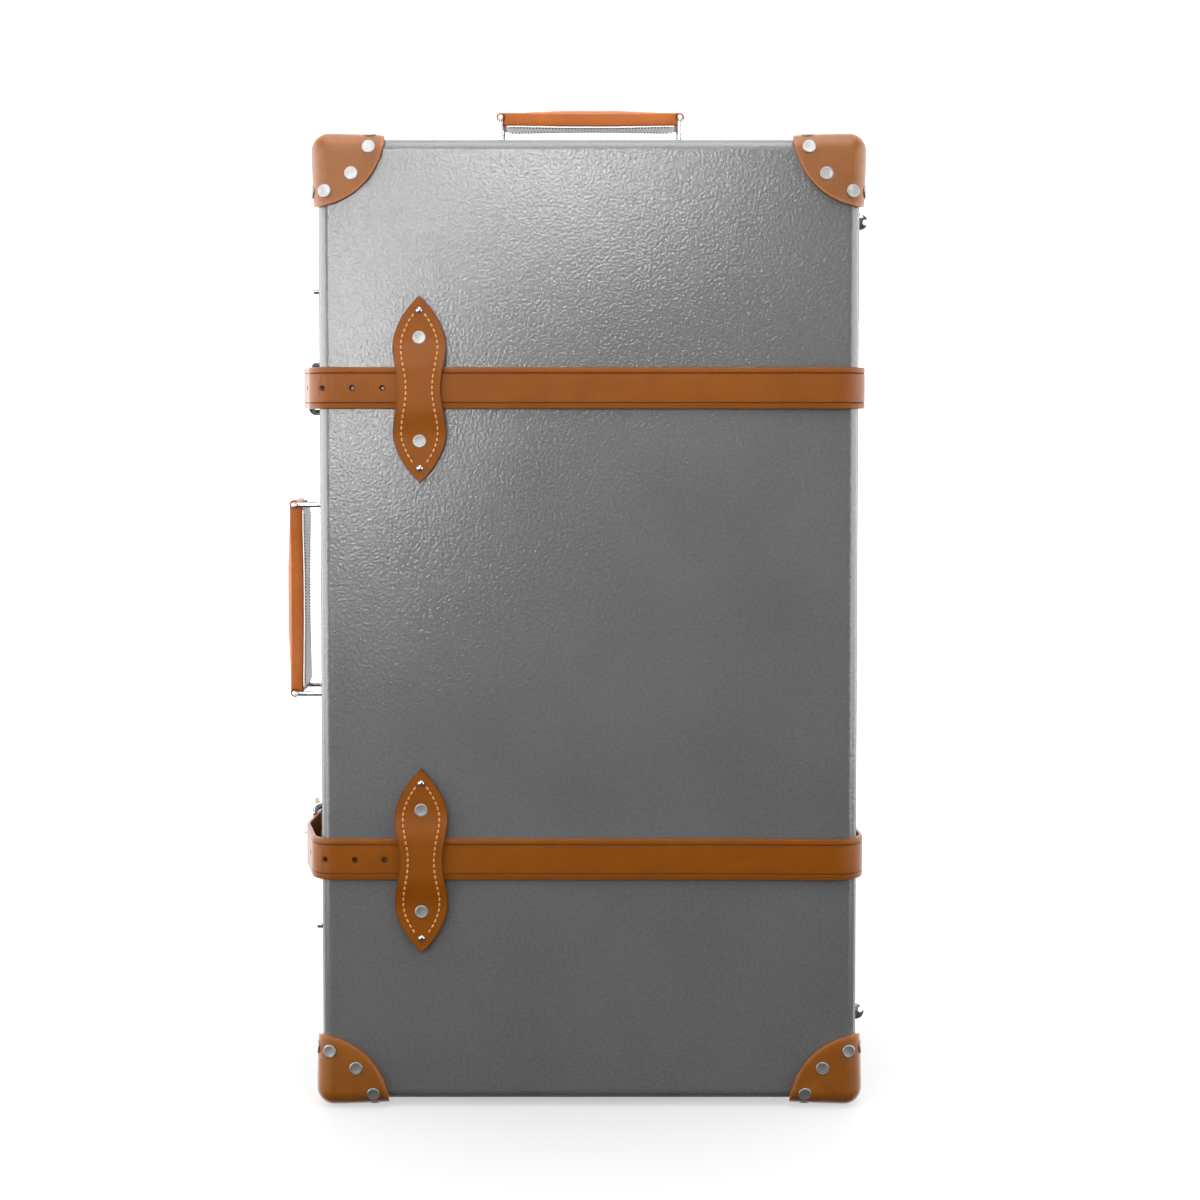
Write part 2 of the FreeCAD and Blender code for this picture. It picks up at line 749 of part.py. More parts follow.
def wire_loop(name, width, length, bend, wire):
    """A closed loop of round wire: two bars of the width joined by two legs of the length."""
    owner = new_body(name)
    spine = new_sketch(owner, name + "_spine", "XY_Plane")
    add_rounded_rectangle(spine, "0", f"-({width}) / 2", length, width, bend)
    section = new_sketch(owner, name + "_section", "XZ_Plane")
    centre = Vector(0, 0)
    circle = section.addGeometry(Part.Circle(centre, Vector(0, 0, 1), size(wire)))
    bind(section, "Radius", (circle, size(wire)), f"dims.{wire}")
    pipe = owner.newObject("PartDesign::AdditivePipe", name + "_wire")
    pipe.Profile = section
    pipe.Spine = (spine, [f"Edge{index}" for index in range(1, 9)])
    return owner


def heel_point():
    """Plan position of a buckle's heel bar and of its front bar."""
    heel = Vector(side_x(size("buckle_heel_out")), PARTING + size("buckle_heel_back"))
    front = Vector(side_x(size("buckle_front_out")), PARTING)
    return heel, front


def buckle(level, height):
    """A wire frame whose heel bar lies in the fold of the strap and whose front bar lies over its end."""
    heel, front = heel_point()
    reach = front - heel
    slope = math.degrees(math.atan2(reach.y, reach.x))
    label = f"buckle_frame_{level}"
    frame = wire_loop(label, "dims.buckle_width", BUCKLE_LENGTH, "dims.buckle_bend", "buckle_wire_radius")
    stand = Rotation(Vector(1, 0, 0), 90)
    frame.Placement = Placement(Vector(heel.x, heel.y, height), Rotation(Vector(0, 0, 1), slope) * stand)
    keep(frame, label)


def prong(level, height):
    """A tapered pin with an eye round the heel bar, resting on the front bar."""
    heel, front = heel_point()
    rest = size("buckle_wire_radius") + size("prong_radius") + 0.3
    reach = front - heel
    lift = math.asin(rest / reach.Length)
    aim = math.atan2(reach.y, reach.x) - lift
    label = f"buckle_prong_{level}"
    eye = doc.addObject("Part::Cylinder", label + "_eye")
    eye.setExpression("Radius", "dims.buckle_wire_radius + dims.bore_clearance + 1.6")
    eye.setExpression("Height", "dims.prong_eye_length")
    eye.setExpression("Placement.Base.z", "-dims.prong_eye_length / 2")
    shank = doc.addObject("Part::Cone", label + "_shank")
    shank.setExpression("Radius1", "dims.prong_radius + 0.2")
    shank.setExpression("Radius2", "dims.prong_radius - 0.3")
    shank.setExpression("Height", f"{BUCKLE_LENGTH} + dims.prong_over")
    shank.Placement = Placement(Vector(0, 0, 0), Rotation(Vector(0, 1, 0), 90))
    solid = doc.addObject("Part::Fuse", label + "_solid")
    solid.Base = eye
    solid.Tool = shank
    bore = doc.addObject("Part::Cylinder", label + "_bore")
    bore.setExpression("Radius", "dims.buckle_wire_radius + dims.bore_clearance")
    bore.setExpression("Height", "2 * dims.prong_eye_length")
    bore.setExpression("Placement.Base.z", "-dims.prong_eye_length")
    feature = cut(label + "_pin", solid, bore)
    feature.Placement = Placement(
        Vector(heel.x, heel.y, height), Rotation(Vector(0, 0, 1), math.degrees(aim)),
    )
    keep(feature, label)


def build_straps():
    """Both straps with their buckles."""
    for level, height in strap_heights():
        lid_strap(level, height)
        base_strap(level)
        strap_tail(level, height)
        buckle(level, height)
        prong(level, height)


# Feet and hinges on the right side

def build_feet():
    """Domed feet on the hinge side, two on each half."""
    foot = dome("foot", size("foot_radius"), size("foot_height"), size("foot_flange"))
    for half, depth_sign in (("lid", -1), ("base", 1)):
        depth = depth_sign * (HALF_DEPTH - size("foot_from_face"))
        heights = [FLOOR_GAP + size("foot_from_end"), TOP - size("foot_from_end")]
        places = [seat(Vector(HALF_WIDTH, depth, height), Vector(1, 0, 0)) for height in heights]
        group(f"{half}_feet", copies(foot, places))


def hinge_heights():
    """Heights of the three hinges."""
    return [MIDDLE + sign * size("hinge_spacing") for sign in (1, 0, -1)]


def hinge_leaf(half, depth_sign):
    """A plate on the side of one half with its share of the knuckles rolled round the pin, at height zero."""
    label = f"hinge_{half}_leaf"
    axis = Vector(HALF_WIDTH + size("hinge_axis_out"), PARTING)
    radius = size("hinge_knuckle_radius")
    thickness = size("hinge_leaf_thickness")

    def spot(across, along):
        return Vector(HALF_WIDTH + across, PARTING + depth_sign * along)

    owner = new_body(label)
    plate = new_sketch(owner, label + "_plate", "XY_Plane")
    draw(plate, [
        (spot(0, 2), spot(0, 2 + size("hinge_leaf_width"))),
        (spot(0, 2 + size("hinge_leaf_width")), spot(thickness, 2 + size("hinge_leaf_width"))),
        (spot(thickness, 2 + size("hinge_leaf_width")), spot(thickness, 2)),
        (spot(thickness, 2), spot(0, 2)),
    ])
    pad(owner, label + "_leaf", plate, "dims.hinge_length", symmetric=True)
    roll = new_sketch(owner, label + "_roll", "XY_Plane")
    out = size("hinge_axis_out")
    slant = radius * math.sqrt(0.5)
    draw(roll, [
        (spot(out - radius, 0), spot(out - radius, 2)),
        (spot(out - radius, 2), spot(0, 2)),
        (spot(0, 2), spot(0, 9)),
        (spot(0, 9), spot(out, radius)),
        (spot(out, radius), spot(out + radius, 0), spot(out, -radius)),
        (spot(out, -radius), spot(out - slant, -slant), spot(out - radius, 0)),
    ])
    share = "dims.hinge_length" if half == "base" else "dims.hinge_middle_knuckle"
    pad(owner, label + "_knuckle", roll, share, symmetric=True)
    if half == "base":
        room = new_sketch(owner, label + "_room", "XY_Plane")
        draw(room, polygon(
            tuple(spot(thickness, 12)), tuple(spot(out + 6, 12)),
            tuple(spot(out + 6, -6)), tuple(spot(thickness, -6)),
        ))
        pocket(owner, label + "_gap", room, "dims.hinge_middle_knuckle + 0.8", symmetric=True)
    bore = new_sketch(owner, label + "_bore", "XY_Plane")
    hole = size("hinge_pin_radius") + size("hinge_clearance")
    circle = bore.addGeometry(Part.Circle(axis, Vector(0, 0, 1), hole))
    bind(bore, "Radius", (circle, hole), "dims.hinge_pin_radius + dims.hinge_clearance")
    pocket(owner, label + "_pin_hole", bore, "dims.hinge_length + 2", symmetric=True)
    return owner


def build_hinges():
    """Three hinges with their pins and rivets."""
    pin = doc.addObject("Part::Cylinder", "hinge_pin")
    pin.setExpression("Radius", "dims.hinge_pin_radius")
    pin.setExpression("Height", "dims.hinge_length + 1")
    pin.setExpression("Placement.Base.z", "-(dims.hinge_length + 1) / 2")
    axis_x = HALF_WIDTH + size("hinge_axis_out")
    pin_places = [Placement(Vector(axis_x, PARTING, z), Rotation()) for z in hinge_heights()]
    leaf_places = [Placement(Vector(0, 0, z), Rotation()) for z in hinge_heights()]
    group("hinge_pins", copies(pin, pin_places))
    for half, depth_sign in (("lid", -1), ("base", 1)):
        leaf = hinge_leaf(half, depth_sign)
        group(f"hinge_{half}_leaves", copies(leaf, leaf_places))


def hinge_rivet_places(depth_sign):
    """Three small rivets on each hinge leaf of one half."""
    places = []
    for height in hinge_heights():
        for shift in (-17, 0, 17):
            along = PARTING + depth_sign * (size("hinge_leaf_width") - 5 - abs(shift) / 8)
            point = Vector(HALF_WIDTH + size("hinge_leaf_thickness"), along, height + shift)
            places.append(seat(point, Vector(1, 0, 0)))
    return places


# Locks on the left side

def lock_expression(sign):
    """Height of a lock as an expression on the sheet."""
    return f"({MIDDLE_HEIGHT} + {sign} * dims.lock_spacing / 2)"


def lock_case(level, sign):
    """A plate with a raised housing, a recess for the hasp and a slot for the slide."""
    label = f"lock_case_{level}"
    height = MIDDLE + sign * size("lock_spacing") / 2
    owner = new_body(label)
    start = f"-{PARTING_OFFSET} + 1"
    face = "-dims.case_width / 2"
    base = new_sketch(owner, label + "_base", "YZ_Plane", face)
    middle = f"{lock_expression(sign)} + {sign} * 5"
    add_rounded_rectangle(
        base, start, f"{middle} - dims.lock_length / 2", "dims.lock_width", "dims.lock_length", "4",
    )
    pad(owner, label + "_plate", base, "dims.lock_plate", reverse=True)
    raised = new_sketch(owner, label + "_raised", "YZ_Plane", face)
    add_rounded_rectangle(
        raised, start, f"{middle} - dims.lock_length / 2 + dims.lock_border",
        "dims.lock_width - dims.lock_border", "dims.lock_length - 2 * dims.lock_border", "3",
    )
    housing = pad(owner, label + "_housing", raised, "dims.lock_height", reverse=True)
    rounded = round_edges(
        owner, label + "_round", housing, "2", lies_at("x", -HALF_WIDTH - size("lock_height")),
    )
    owner.Tip = rounded
    top = "-dims.case_width / 2 - dims.lock_height"
    recess = new_sketch(owner, label + "_recess", "YZ_Plane", top)
    reach = size("hasp_reach") - size("hasp_axis_from_parting") + 1
    half = size("hasp_width") / 2 + 0.5
    draw(recess, polygon(
        (PARTING, height - half), (PARTING + reach, height - half),
        (PARTING + reach, height + half), (PARTING, height + half),
    ))
    depth = "dims.lock_height - dims.hasp_axis_out + dims.hasp_thickness / 2 + dims.hasp_room"
    pocket(owner, label + "_hasp_seat", recess, depth, True)
    slot = new_sketch(owner, label + "_slot", "YZ_Plane", top)
    slot_middle = f"{lock_expression(sign)} + {sign} * (dims.lock_knob_offset + 1)"
    add_rounded_rectangle(
        slot, f"-{PARTING_OFFSET} + 6", f"{slot_middle} - dims.lock_slot_length / 2",
        "dims.lock_slot_width", "dims.lock_slot_length", "1",
    )
    pocket(owner, label + "_slide_slot", slot, "dims.lock_slot_depth", True)
    keep(owner, label)


def lock_slide(level, sign):
    """A block in the slot with a round knob to push it by."""
    label = f"lock_slide_{level}"
    owner = new_body(label)
    floor = "-dims.case_width / 2 - dims.lock_height + dims.lock_slot_depth - 0.3"
    start = f"-{PARTING_OFFSET} + 6.3"
    block = new_sketch(owner, label + "_block", "YZ_Plane", floor)
    near = f"{lock_expression(sign)} + {sign} * dims.lock_knob_offset"
    add_rounded_rectangle(
        block, start, f"{near} - dims.lock_key_length / 2 - {sign}",
        "dims.lock_slot_width - 0.6", "dims.lock_key_length", "0.8",
    )
    pad(owner, label + "_key", block, "dims.lock_slot_depth + 0.5", reverse=True)
    round_knob = new_sketch(owner, label + "_knob", "YZ_Plane", floor)
    centre = Vector(PARTING + 6 + size("lock_slot_width") / 2, float(sheet.evalExpression(near)))
    circle = round_knob.addGeometry(Part.Circle(centre, Vector(0, 0, 1), size("lock_knob_radius")))
    bind(round_knob, "Radius", (circle, size("lock_knob_radius")), "dims.lock_knob_radius")
    knob = pad(
        owner, label + "_stem", round_knob,
        "dims.lock_knob_height - dims.lock_height + dims.lock_slot_depth - 0.3", reverse=True,
    )
    round_edges(owner, label + "_crown", knob, "1.2", lies_at("x", -HALF_WIDTH - size("lock_knob_height")))
    keep(owner, label)


def hasp_axis():
    """Plan position of the hasps' pins."""
    return Vector(side_x(size("hasp_axis_out")), PARTING - size("hasp_axis_from_parting"))


def hasp(level, sign):
    """A flat tongue on a narrow neck that swings on the lid and lies in the recess of the lock."""
    label = f"lock_hasp_{level}"
    height = lock_expression(sign)
    axis = hasp_axis()
    owner = new_body(label)
    half = size("hasp_thickness") / 2
    tongue = new_sketch(owner, label + "_tongue", "XY_Plane", height)
    start = axis.y + size("hasp_neck")
    end = axis.y + size("hasp_reach")
    draw(tongue, polygon(
        (axis.x - half, start), (axis.x + half, start), (axis.x + half, end), (axis.x - half, end),
    ))
    flat = pad(owner, label + "_flat", tongue, "dims.hasp_width", symmetric=True)
    rounded = round_edges(
        owner, label + "_corners", flat, "8",
        lambda edge: lies_at("y", end)(edge) and edge.BoundBox.XLength > half,
    )
    owner.Tip = rounded
    neck = new_sketch(owner, label + "_neck", "XY_Plane", height)
    draw(neck, polygon(
        (axis.x - half, axis.y), (axis.x + half, axis.y),
        (axis.x + half, start + 1), (axis.x - half, start + 1),
    ))
    pad(owner, label + "_shank", neck, "dims.hasp_width / 2", symmetric=True)
    barrel = new_sketch(owner, label + "_barrel", "XY_Plane", height)
    circle = barrel.addGeometry(Part.Circle(axis, Vector(0, 0, 1), size("hasp_knuckle_radius")))
    bind(barrel, "Radius", (circle, size("hasp_knuckle_radius")), "dims.hasp_knuckle_radius")
    pad(owner, label + "_knuckle", barrel, "dims.hasp_width / 2", symmetric=True)
    bore = new_sketch(owner, label + "_bore", "XY_Plane", height)
    hole = size("hinge_pin_radius") / 2 + size("hinge_clearance")
    circle = bore.addGeometry(Part.Circle(axis, Vector(0, 0, 1), hole))
    bind(bore, "Radius", (circle, hole), "dims.hinge_pin_radius / 2 + dims.hinge_clearance")
    pocket(owner, label + "_pin_hole", bore, "2 * dims.hasp_width", symmetric=True)
    keep(owner, label)


def hasp_plate(level, sign):
    """The lid's plate with two lugs and the pin that the hasp swings on."""
    label = f"lock_hasp_plate_{level}"
    height = lock_expression(sign)
    axis = hasp_axis()
    owner = new_body(label)
    base = new_sketch(owner, label + "_base", "YZ_Plane", "-dims.case_width / 2")
    add_rounded_rectangle(
        base, f"-{PARTING_OFFSET} - dims.hasp_axis_from_parting - 26", f"{height} - 20", "32.4", "40", "4",
    )
    pad(owner, label + "_plate", base, "1.2", reverse=True)
    lug = new_sketch(owner, label + "_lug", "XY_Plane", height)
    radius = size("hasp_knuckle_radius")
    draw(lug, [
        (Vector(-HALF_WIDTH - 0.6, axis.y - radius), Vector(-HALF_WIDTH - 0.6, axis.y + radius)),
        (Vector(-HALF_WIDTH - 0.6, axis.y + radius), Vector(axis.x, axis.y + radius)),
        (Vector(axis.x, axis.y + radius), Vector(axis.x - radius, axis.y), Vector(axis.x, axis.y - radius)),
        (Vector(axis.x, axis.y - radius), Vector(-HALF_WIDTH - 0.6, axis.y - radius)),
    ])
    pad(owner, label + "_lugs", lug, "dims.hasp_width / 2 + 13", symmetric=True)
    room = new_sketch(owner, label + "_room", "XY_Plane", height)
    draw(room, polygon(
        (-HALF_WIDTH - 1.2, axis.y - radius - 1), (-HALF_WIDTH - 1.2, axis.y + radius + 1),
        (axis.x - radius - 1, axis.y + radius + 1), (axis.x - radius - 1, axis.y - radius - 1),
    ))
    pocket(owner, label + "_gap", room, "dims.hasp_width / 2 + 0.8", symmetric=True)
    pin = new_sketch(owner, label + "_pin", "XY_Plane", height)
    circle = pin.addGeometry(Part.Circle(axis, Vector(0, 0, 1), size("hinge_pin_radius") / 2))
    bind(pin, "Radius", (circle, size("hinge_pin_radius") / 2), "dims.hinge_pin_radius / 2")
    pad(owner, label + "_axle", pin, "dims.hasp_width / 2 + 13", symmetric=True)
    keep(owner, label)


def build_locks():
    """Two locks, mirrored about the middle of the case."""
    for level, sign in (("upper", 1), ("lower", -1)):
        lock_case(level, sign)
        lock_slide(level, sign)
        hasp(level, sign)
        hasp_plate(level, sign)


def lock_rivet_places(half):
    """Two small rivets on each lock case, or on each hasp plate of the lid."""
    places = []
    for sign in (1, -1):
        height = MIDDLE + sign * size("lock_spacing") / 2
        if half == "base":
            depth = PARTING + size("lock_width") - 1.4
            spots = [(size("lock_plate"), depth, sign * shift) for shift in (-18, 28)]
        else:
            spots = [(1.2, hasp_axis().y - 20, shift) for shift in (-14, 14)]
        for out, depth, shift in spots:
            places.append(seat(Vector(side_x(out), depth, height + shift), Vector(-1, 0, 0)))
    return places


# Handles: two wire rings on plates and a leather grip between them

def handle_plate(label, placement):
    """A riveted plate with a barrel that holds the inner bar of a ring; built about the bar."""
    owner = new_body(label)
    base = new_sketch(owner, label + "_base", "YZ_Plane", "-dims.ring_axis_out")
    add_rounded_rectangle(
        base, "-dims.plate_length / 2", "-dims.plate_width / 2", "dims.plate_length", "dims.plate_width", "6",
    )
    pad(owner, label + "_plate", base, "dims.plate_thickness")
    roll = new_sketch(owner, label + "_roll", "XZ_Plane")
    radius = size("plate_barrel_radius")
    low = -size("ring_axis_out") + size("plate_thickness") / 2
    draw(roll, [
        (Vector(low, radius + 2), Vector(0, radius)),
        (Vector(0, radius), Vector(radius, 0), Vector(0, -radius)),
        (Vector(0, -radius), Vector(low, -radius - 2)),
        (Vector(low, -radius - 2), Vector(low, radius + 2)),
    ])
    pad(owner, label + "_barrel", roll, "dims.plate_barrel_length", symmetric=True)
    bore = new_sketch(owner, label + "_bore", "XZ_Plane")
    hole = size("ring_wire_radius") + size("bore_clearance")
    circle = bore.addGeometry(Part.Circle(Vector(0, 0), Vector(0, 0, 1), hole))
    bind(bore, "Radius", (circle, hole), "dims.ring_wire_radius + dims.bore_clearance")
    pocket(owner, label + "_bar_hole", bore, "2 * dims.plate_barrel_length", symmetric=True)
    owner.Placement = placement
    keep(owner, label)


def handle_ring(label, handle, placement):
    """A rectangular wire ring; built about its inner bar, with its outer bar along +X."""
    length = f"dims.{handle}_ring_length"
    ring = wire_loop(label, "dims.ring_width", length, "dims.ring_bend", "ring_wire_radius")
    ring.Placement = placement
    keep(ring, label)


def grip_section(owner, label, index, place, width, under, crown):
    """One cross section of a grip: flat beneath, arched above."""
    section = new_sketch(owner, f"{label}_section_{index}", "XY_Plane", str(place))
    half = width / 2
    shoulder = size("grip_shoulder")
    draw(section, [
        (Vector(-under, -half), Vector(shoulder, -half)),
        (Vector(shoulder, -half), Vector(crown, 0), Vector(shoulder, half)),
        (Vector(shoulder, half), Vector(-under, half)),
        (Vector(-under, half), Vector(-under, -half)),
    ])
    return section


def handle_grip(label, spacing, placement):
    """A leather grip, narrow and full in the middle, with a loop round each ring's outer bar."""
    owner = new_body(label)
    half = size(spacing) / 2
    under = size("grip_under")
    end_width = size("grip_end_width")
    sections = [
        (-half - 2, end_width, size("grip_end_crown")),
        (-half + 14, end_width - 2, size("grip_end_crown") + 1),
        (-half / 3, size("grip_middle_width"), size("grip_middle_crown")),
        (half / 3, size("grip_middle_width"), size("grip_middle_crown")),
        (half - 14, end_width - 2, size("grip_end_crown") + 1),
        (half + 2, end_width, size("grip_end_crown")),
    ]
    made = [
        grip_section(owner, label, index, place, width, under, crown)
        for index, (place, width, crown) in enumerate(sections)
    ]
    loft = owner.newObject("PartDesign::AdditiveLoft", label + "_loft")
    loft.Profile = made[0]
    loft.Sections = made[1:]
    for sign in (1, -1):
        nose = new_sketch(owner, f"{label}_nose_{sign + 1}", "XZ_Plane")
        radius = size("grip_end_crown")
        draw(nose, [
            (Vector(0, sign * half - radius), Vector(radius, sign * half), Vector(0, sign * half + radius)),
            (Vector(0, sign * half + radius), Vector(-radius, sign * half), Vector(0, sign * half - radius)),
        ])
        pad(owner, f"{label}_loop_{sign + 1}", nose, "dims.grip_end_width", symmetric=True)
    bores = new_sketch(owner, label + "_bores", "XZ_Plane")
    hole = size("ring_wire_radius") + size("bore_clearance")
    for sign in (1, -1):
        circle = bores.addGeometry(Part.Circle(Vector(0, sign * half), Vector(0, 0, 1), hole))
        bind(bores, "Radius", (circle, hole), "dims.ring_wire_radius + dims.bore_clearance")
    pocket(owner, label + "_bar_holes", bores, "2 * dims.grip_end_width", symmetric=True)
    owner.Placement = placement
    keep(owner, label)


def handle_mounts():
    """Where each ring's inner bar lies, and the turn that points +X away from the case."""
    out = size("ring_axis_out")
    depth = size("handle_depth")
    leftward = Rotation(Vector(0, 0, 1), 180)
    upward = Rotation(Vector(0, 1, 0), -90)
    side_half = size("side_ring_spacing") / 2
    side_middle = MIDDLE + size("side_handle_raise")
    top_half = size("top_ring_spacing") / 2
    return [
        ("side", "upper", Vector(side_x(out), depth, side_middle + side_half), leftward),
        ("side", "lower", Vector(side_x(out), depth, side_middle - side_half), leftward),
        ("top", "left", Vector(-top_half, depth, TOP + out), upward),
        ("top", "right", Vector(top_half, depth, TOP + out), upward),
    ]


def build_handles():
    """A carrying handle on the left side and one on the top end."""
    for handle, end, point, turn in handle_mounts():
        placement = Placement(point, turn)
        handle_plate(f"{handle}_handle_plate_{end}", placement)
        handle_ring(f"{handle}_handle_ring_{end}", handle, placement)
    side_bar = size("ring_axis_out") + size("side_ring_length")
    top_bar = size("ring_axis_out") + size("top_ring_length")
    side_middle = MIDDLE + size("side_handle_raise")
    depth = size("handle_depth")
    leftward = Placement(Vector(side_x(side_bar), depth, side_middle), Rotation(Vector(0, 0, 1), 180))
    upward = Placement(Vector(0, depth, TOP + top_bar), Rotation(Vector(0, 1, 0), -90))
    handle_grip("side_handle_grip", "side_ring_spacing", leftward)
    handle_grip("top_handle_grip", "top_ring_spacing", upward)


def plate_rivet_places():
    """Four small rivets on each handle plate."""
    places = []
    for handle, end, point, turn in handle_mounts():
        outward = turn.multVec(Vector(1, 0, 0))
        along = turn.multVec(Vector(0, 0, 1))
        face = point + outward * (size("plate_thickness") - size("ring_axis_out"))
        for across in (-23.5, 23.5):
            for aside in (-9, 9):
                places.append(seat(face + along * aside + Vector(0, across, 0), outward))
    return places


def build_fasteners():
    """Large rivets of the leather, nails of the keepers and small rivets of the metal plates, by half."""
    corner_rivet = rivet_master("corner_rivet", "dims.corner_thickness + dims.wall - dims.rivet_shank_relief")
    standing_rivet = rivet_master("standing_rivet", "dims.corner_thickness - dims.standing_shank_relief")
    keeper_rivet = rivet_master("keeper_rivet", "dims.keeper_thickness + dims.wall")
    nail = dome("nail", size("nail_radius"), size("nail_height"), size("nail_height") / 4)
    stud = doc.addObject("Part::Prism", "stud")
    stud.Polygon = 10
    stud.setExpression("Circumradius", "dims.pin_head_radius")
    stud.setExpression("Height", "dims.pin_head_height")
    extra = {"lid": [], "base": plate_rivet_places()}
    for half, depth_sign in (("lid", -1), ("base", 1)):
        leather = copies(corner_rivet, corner_rivet_places(depth_sign, False))
        leather += copies(standing_rivet, corner_rivet_places(depth_sign, True))
        leather += copies(keeper_rivet, keeper_fastener_places(depth_sign, size("keeper_rivet")))
        group(f"{half}_leather_rivets", leather)
        nails = copies(nail, keeper_fastener_places(depth_sign, size("keeper_nail")))
        group(f"{half}_keeper_nails", nails)
        plates = hinge_rivet_places(depth_sign) + lock_rivet_places(half) + extra[half]
        group(f"{half}_plate_rivets", copies(stud, plates))


def check_and_write():
    """Stop on any failed object or shape, then write one file for each node."""
    doc.recompute()
    failed = [item.Name for item in doc.Objects if "Invalid" in item.State or "Error" in item.State]
    if failed:
        raise RuntimeError(f"failed objects: {failed}")
    for feature in NODES:
        shape = feature.Shape
        if shape.isNull() or not shape.isValid() or not shape.Solids:
            raise RuntimeError(f"bad shape: {feature.Label}")
    os.makedirs("parts", exist_ok=True)
    for feature in NODES:
        shape = feature.Shape.copy()
        shape.translate(Vector(size("case_offset"), 0, 0))
        shape.exportStep(f"parts/{feature.Label}.step")
        print(f"{feature.Label}: {len(shape.Solids)} solids, {shape.Volume:.0f} cubic mm")


build_shells()
build_frames()
build_linings()
build_corners()
build_keepers()
build_straps()
build_feet()
build_hinges()
build_locks()
build_handles()
build_fasteners()
check_and_write()
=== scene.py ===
"""Looks of an upright fibreboard suitcase with leather corners, straps, keepers and handles.

The pieces are drawn about the middle of the case, in metres, and present() moves them into the frame.
"""
import logging
import math
from dataclasses import dataclass, field
from enum import Enum
from functools import lru_cache
from typing import Callable, Iterator, Optional, Sequence

import bmesh
import bpy
from mathutils import Matrix, Vector


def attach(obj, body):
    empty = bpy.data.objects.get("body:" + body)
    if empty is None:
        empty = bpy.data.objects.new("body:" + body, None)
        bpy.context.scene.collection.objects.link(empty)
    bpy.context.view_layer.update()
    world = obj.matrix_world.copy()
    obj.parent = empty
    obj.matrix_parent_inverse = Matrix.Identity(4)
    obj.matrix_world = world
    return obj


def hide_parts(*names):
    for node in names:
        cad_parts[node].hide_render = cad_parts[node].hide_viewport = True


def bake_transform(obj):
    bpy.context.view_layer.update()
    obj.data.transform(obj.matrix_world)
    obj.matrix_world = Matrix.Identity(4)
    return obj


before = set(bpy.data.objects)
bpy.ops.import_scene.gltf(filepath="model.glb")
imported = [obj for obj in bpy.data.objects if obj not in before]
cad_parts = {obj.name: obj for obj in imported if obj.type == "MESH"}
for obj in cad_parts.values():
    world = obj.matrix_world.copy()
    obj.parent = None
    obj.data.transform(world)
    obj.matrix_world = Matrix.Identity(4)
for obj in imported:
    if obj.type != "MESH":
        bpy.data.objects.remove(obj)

LOG = logging.getLogger("suitcase")
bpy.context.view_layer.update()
MERGE = 1e-6
SMOOTH_ANGLE = math.radians(38)
FLAT_ANGLE = math.radians(1.5)
BEND_STEP = math.radians(7)
STRAP_SPACING = 0.410
KEEPER_ACROSS = -0.146

Piece = bpy.types.Object
Socket = bpy.types.NodeSocket
Triple = tuple[float, float, float]
Pair = tuple[Vector, Vector]
Place = Callable[[int, int], Vector]


class Half(Enum):
    """The two halves of the case; the value is the side of the depth that a half lies on."""

    LID = -1
    BASE = 1

    @property
    def body(self) -> str:
        """Name of the half's body in the frame."""
        return self.name.lower()


class Level(Enum):
    """Upper and lower of a pair; the value is the side of the case's middle."""

    UPPER = 1
    LOWER = -1

    @property
    def label(self) -> str:
        """The word used in the names of pieces."""
        return self.name.lower()


class Shape(Enum):
    """What an edit-mode selection picks."""

    EDGE = "EDGE"
    FACE = "FACE"


class Slot(Enum):
    """Material slots of the record."""

    FIBRE = "grey_fibre"
    LEATHER = "tan_leather"
    HANDLE = "handle_leather"
    CHROME = "chrome"
    NICKEL = "nickel"
    LINING = "lining_paper"


@dataclass(frozen=True)
class CaseSize:
    """Planes of the case that many pieces share, in metres."""

    middle_x: float = 0.0218
    half_width: float = 0.234
    half_depth: float = 0.124
    half_height: float = 0.419
    floor_gap: float = 0.006
    parting: float = -0.020
    half_gap: float = 0.0002
    wall: float = 0.003
    edge_radius: float = 0.010
    corner_radius: float = 0.014

    @property
    def middle(self) -> float:
        """Height of the case's middle."""
        return self.floor_gap + self.half_height

    @property
    def top(self) -> float:
        """Height of the case's upper end."""
        return self.floor_gap + 2 * self.half_height


CASE = CaseSize()


# Bench: how meshes are started, shaped and handed over

def clear_selection() -> None:
    """Leave edit mode and deselect everything."""
    if bpy.context.object and bpy.context.object.mode != "OBJECT":
        bpy.ops.object.mode_set(mode="OBJECT")
    bpy.ops.object.select_all(action="DESELECT")


def pick(piece: Piece) -> None:
    """Make one piece the only selected and active one.

    Args:
        piece: The piece to work on.
    """
    clear_selection()
    piece.select_set(True)
    bpy.context.view_layer.objects.active = piece


def choose(piece: Piece, shape: Shape, test: Callable[[object], bool]) -> None:
    """Enter edit mode and select the edges or faces that a test picks out.

    Args:
        piece: The piece to edit.
        shape: Whether edges or faces are tested.
        test: Says whether one edge or face is selected.
    """
    pick(piece)
    bpy.ops.object.mode_set(mode="EDIT")
    bpy.ops.mesh.select_mode(type=shape.value)
    bpy.ops.mesh.select_all(action="DESELECT")
    mesh = bmesh.from_edit_mesh(piece.data)
    for item in mesh.edges if shape is Shape.EDGE else mesh.faces:
        item.select_set(test(item))
    bmesh.update_edit_mesh(piece.data)


def leave_edit() -> None:
    """Go back to object mode."""
    bpy.ops.object.mode_set(mode="OBJECT")


def edit_all(piece: Piece) -> None:
    """Enter edit mode with all of a piece selected.

    Args:
        piece: The piece to edit.
    """
    pick(piece)
    bpy.ops.object.mode_set(mode="EDIT")
    bpy.ops.mesh.select_all(action="SELECT")


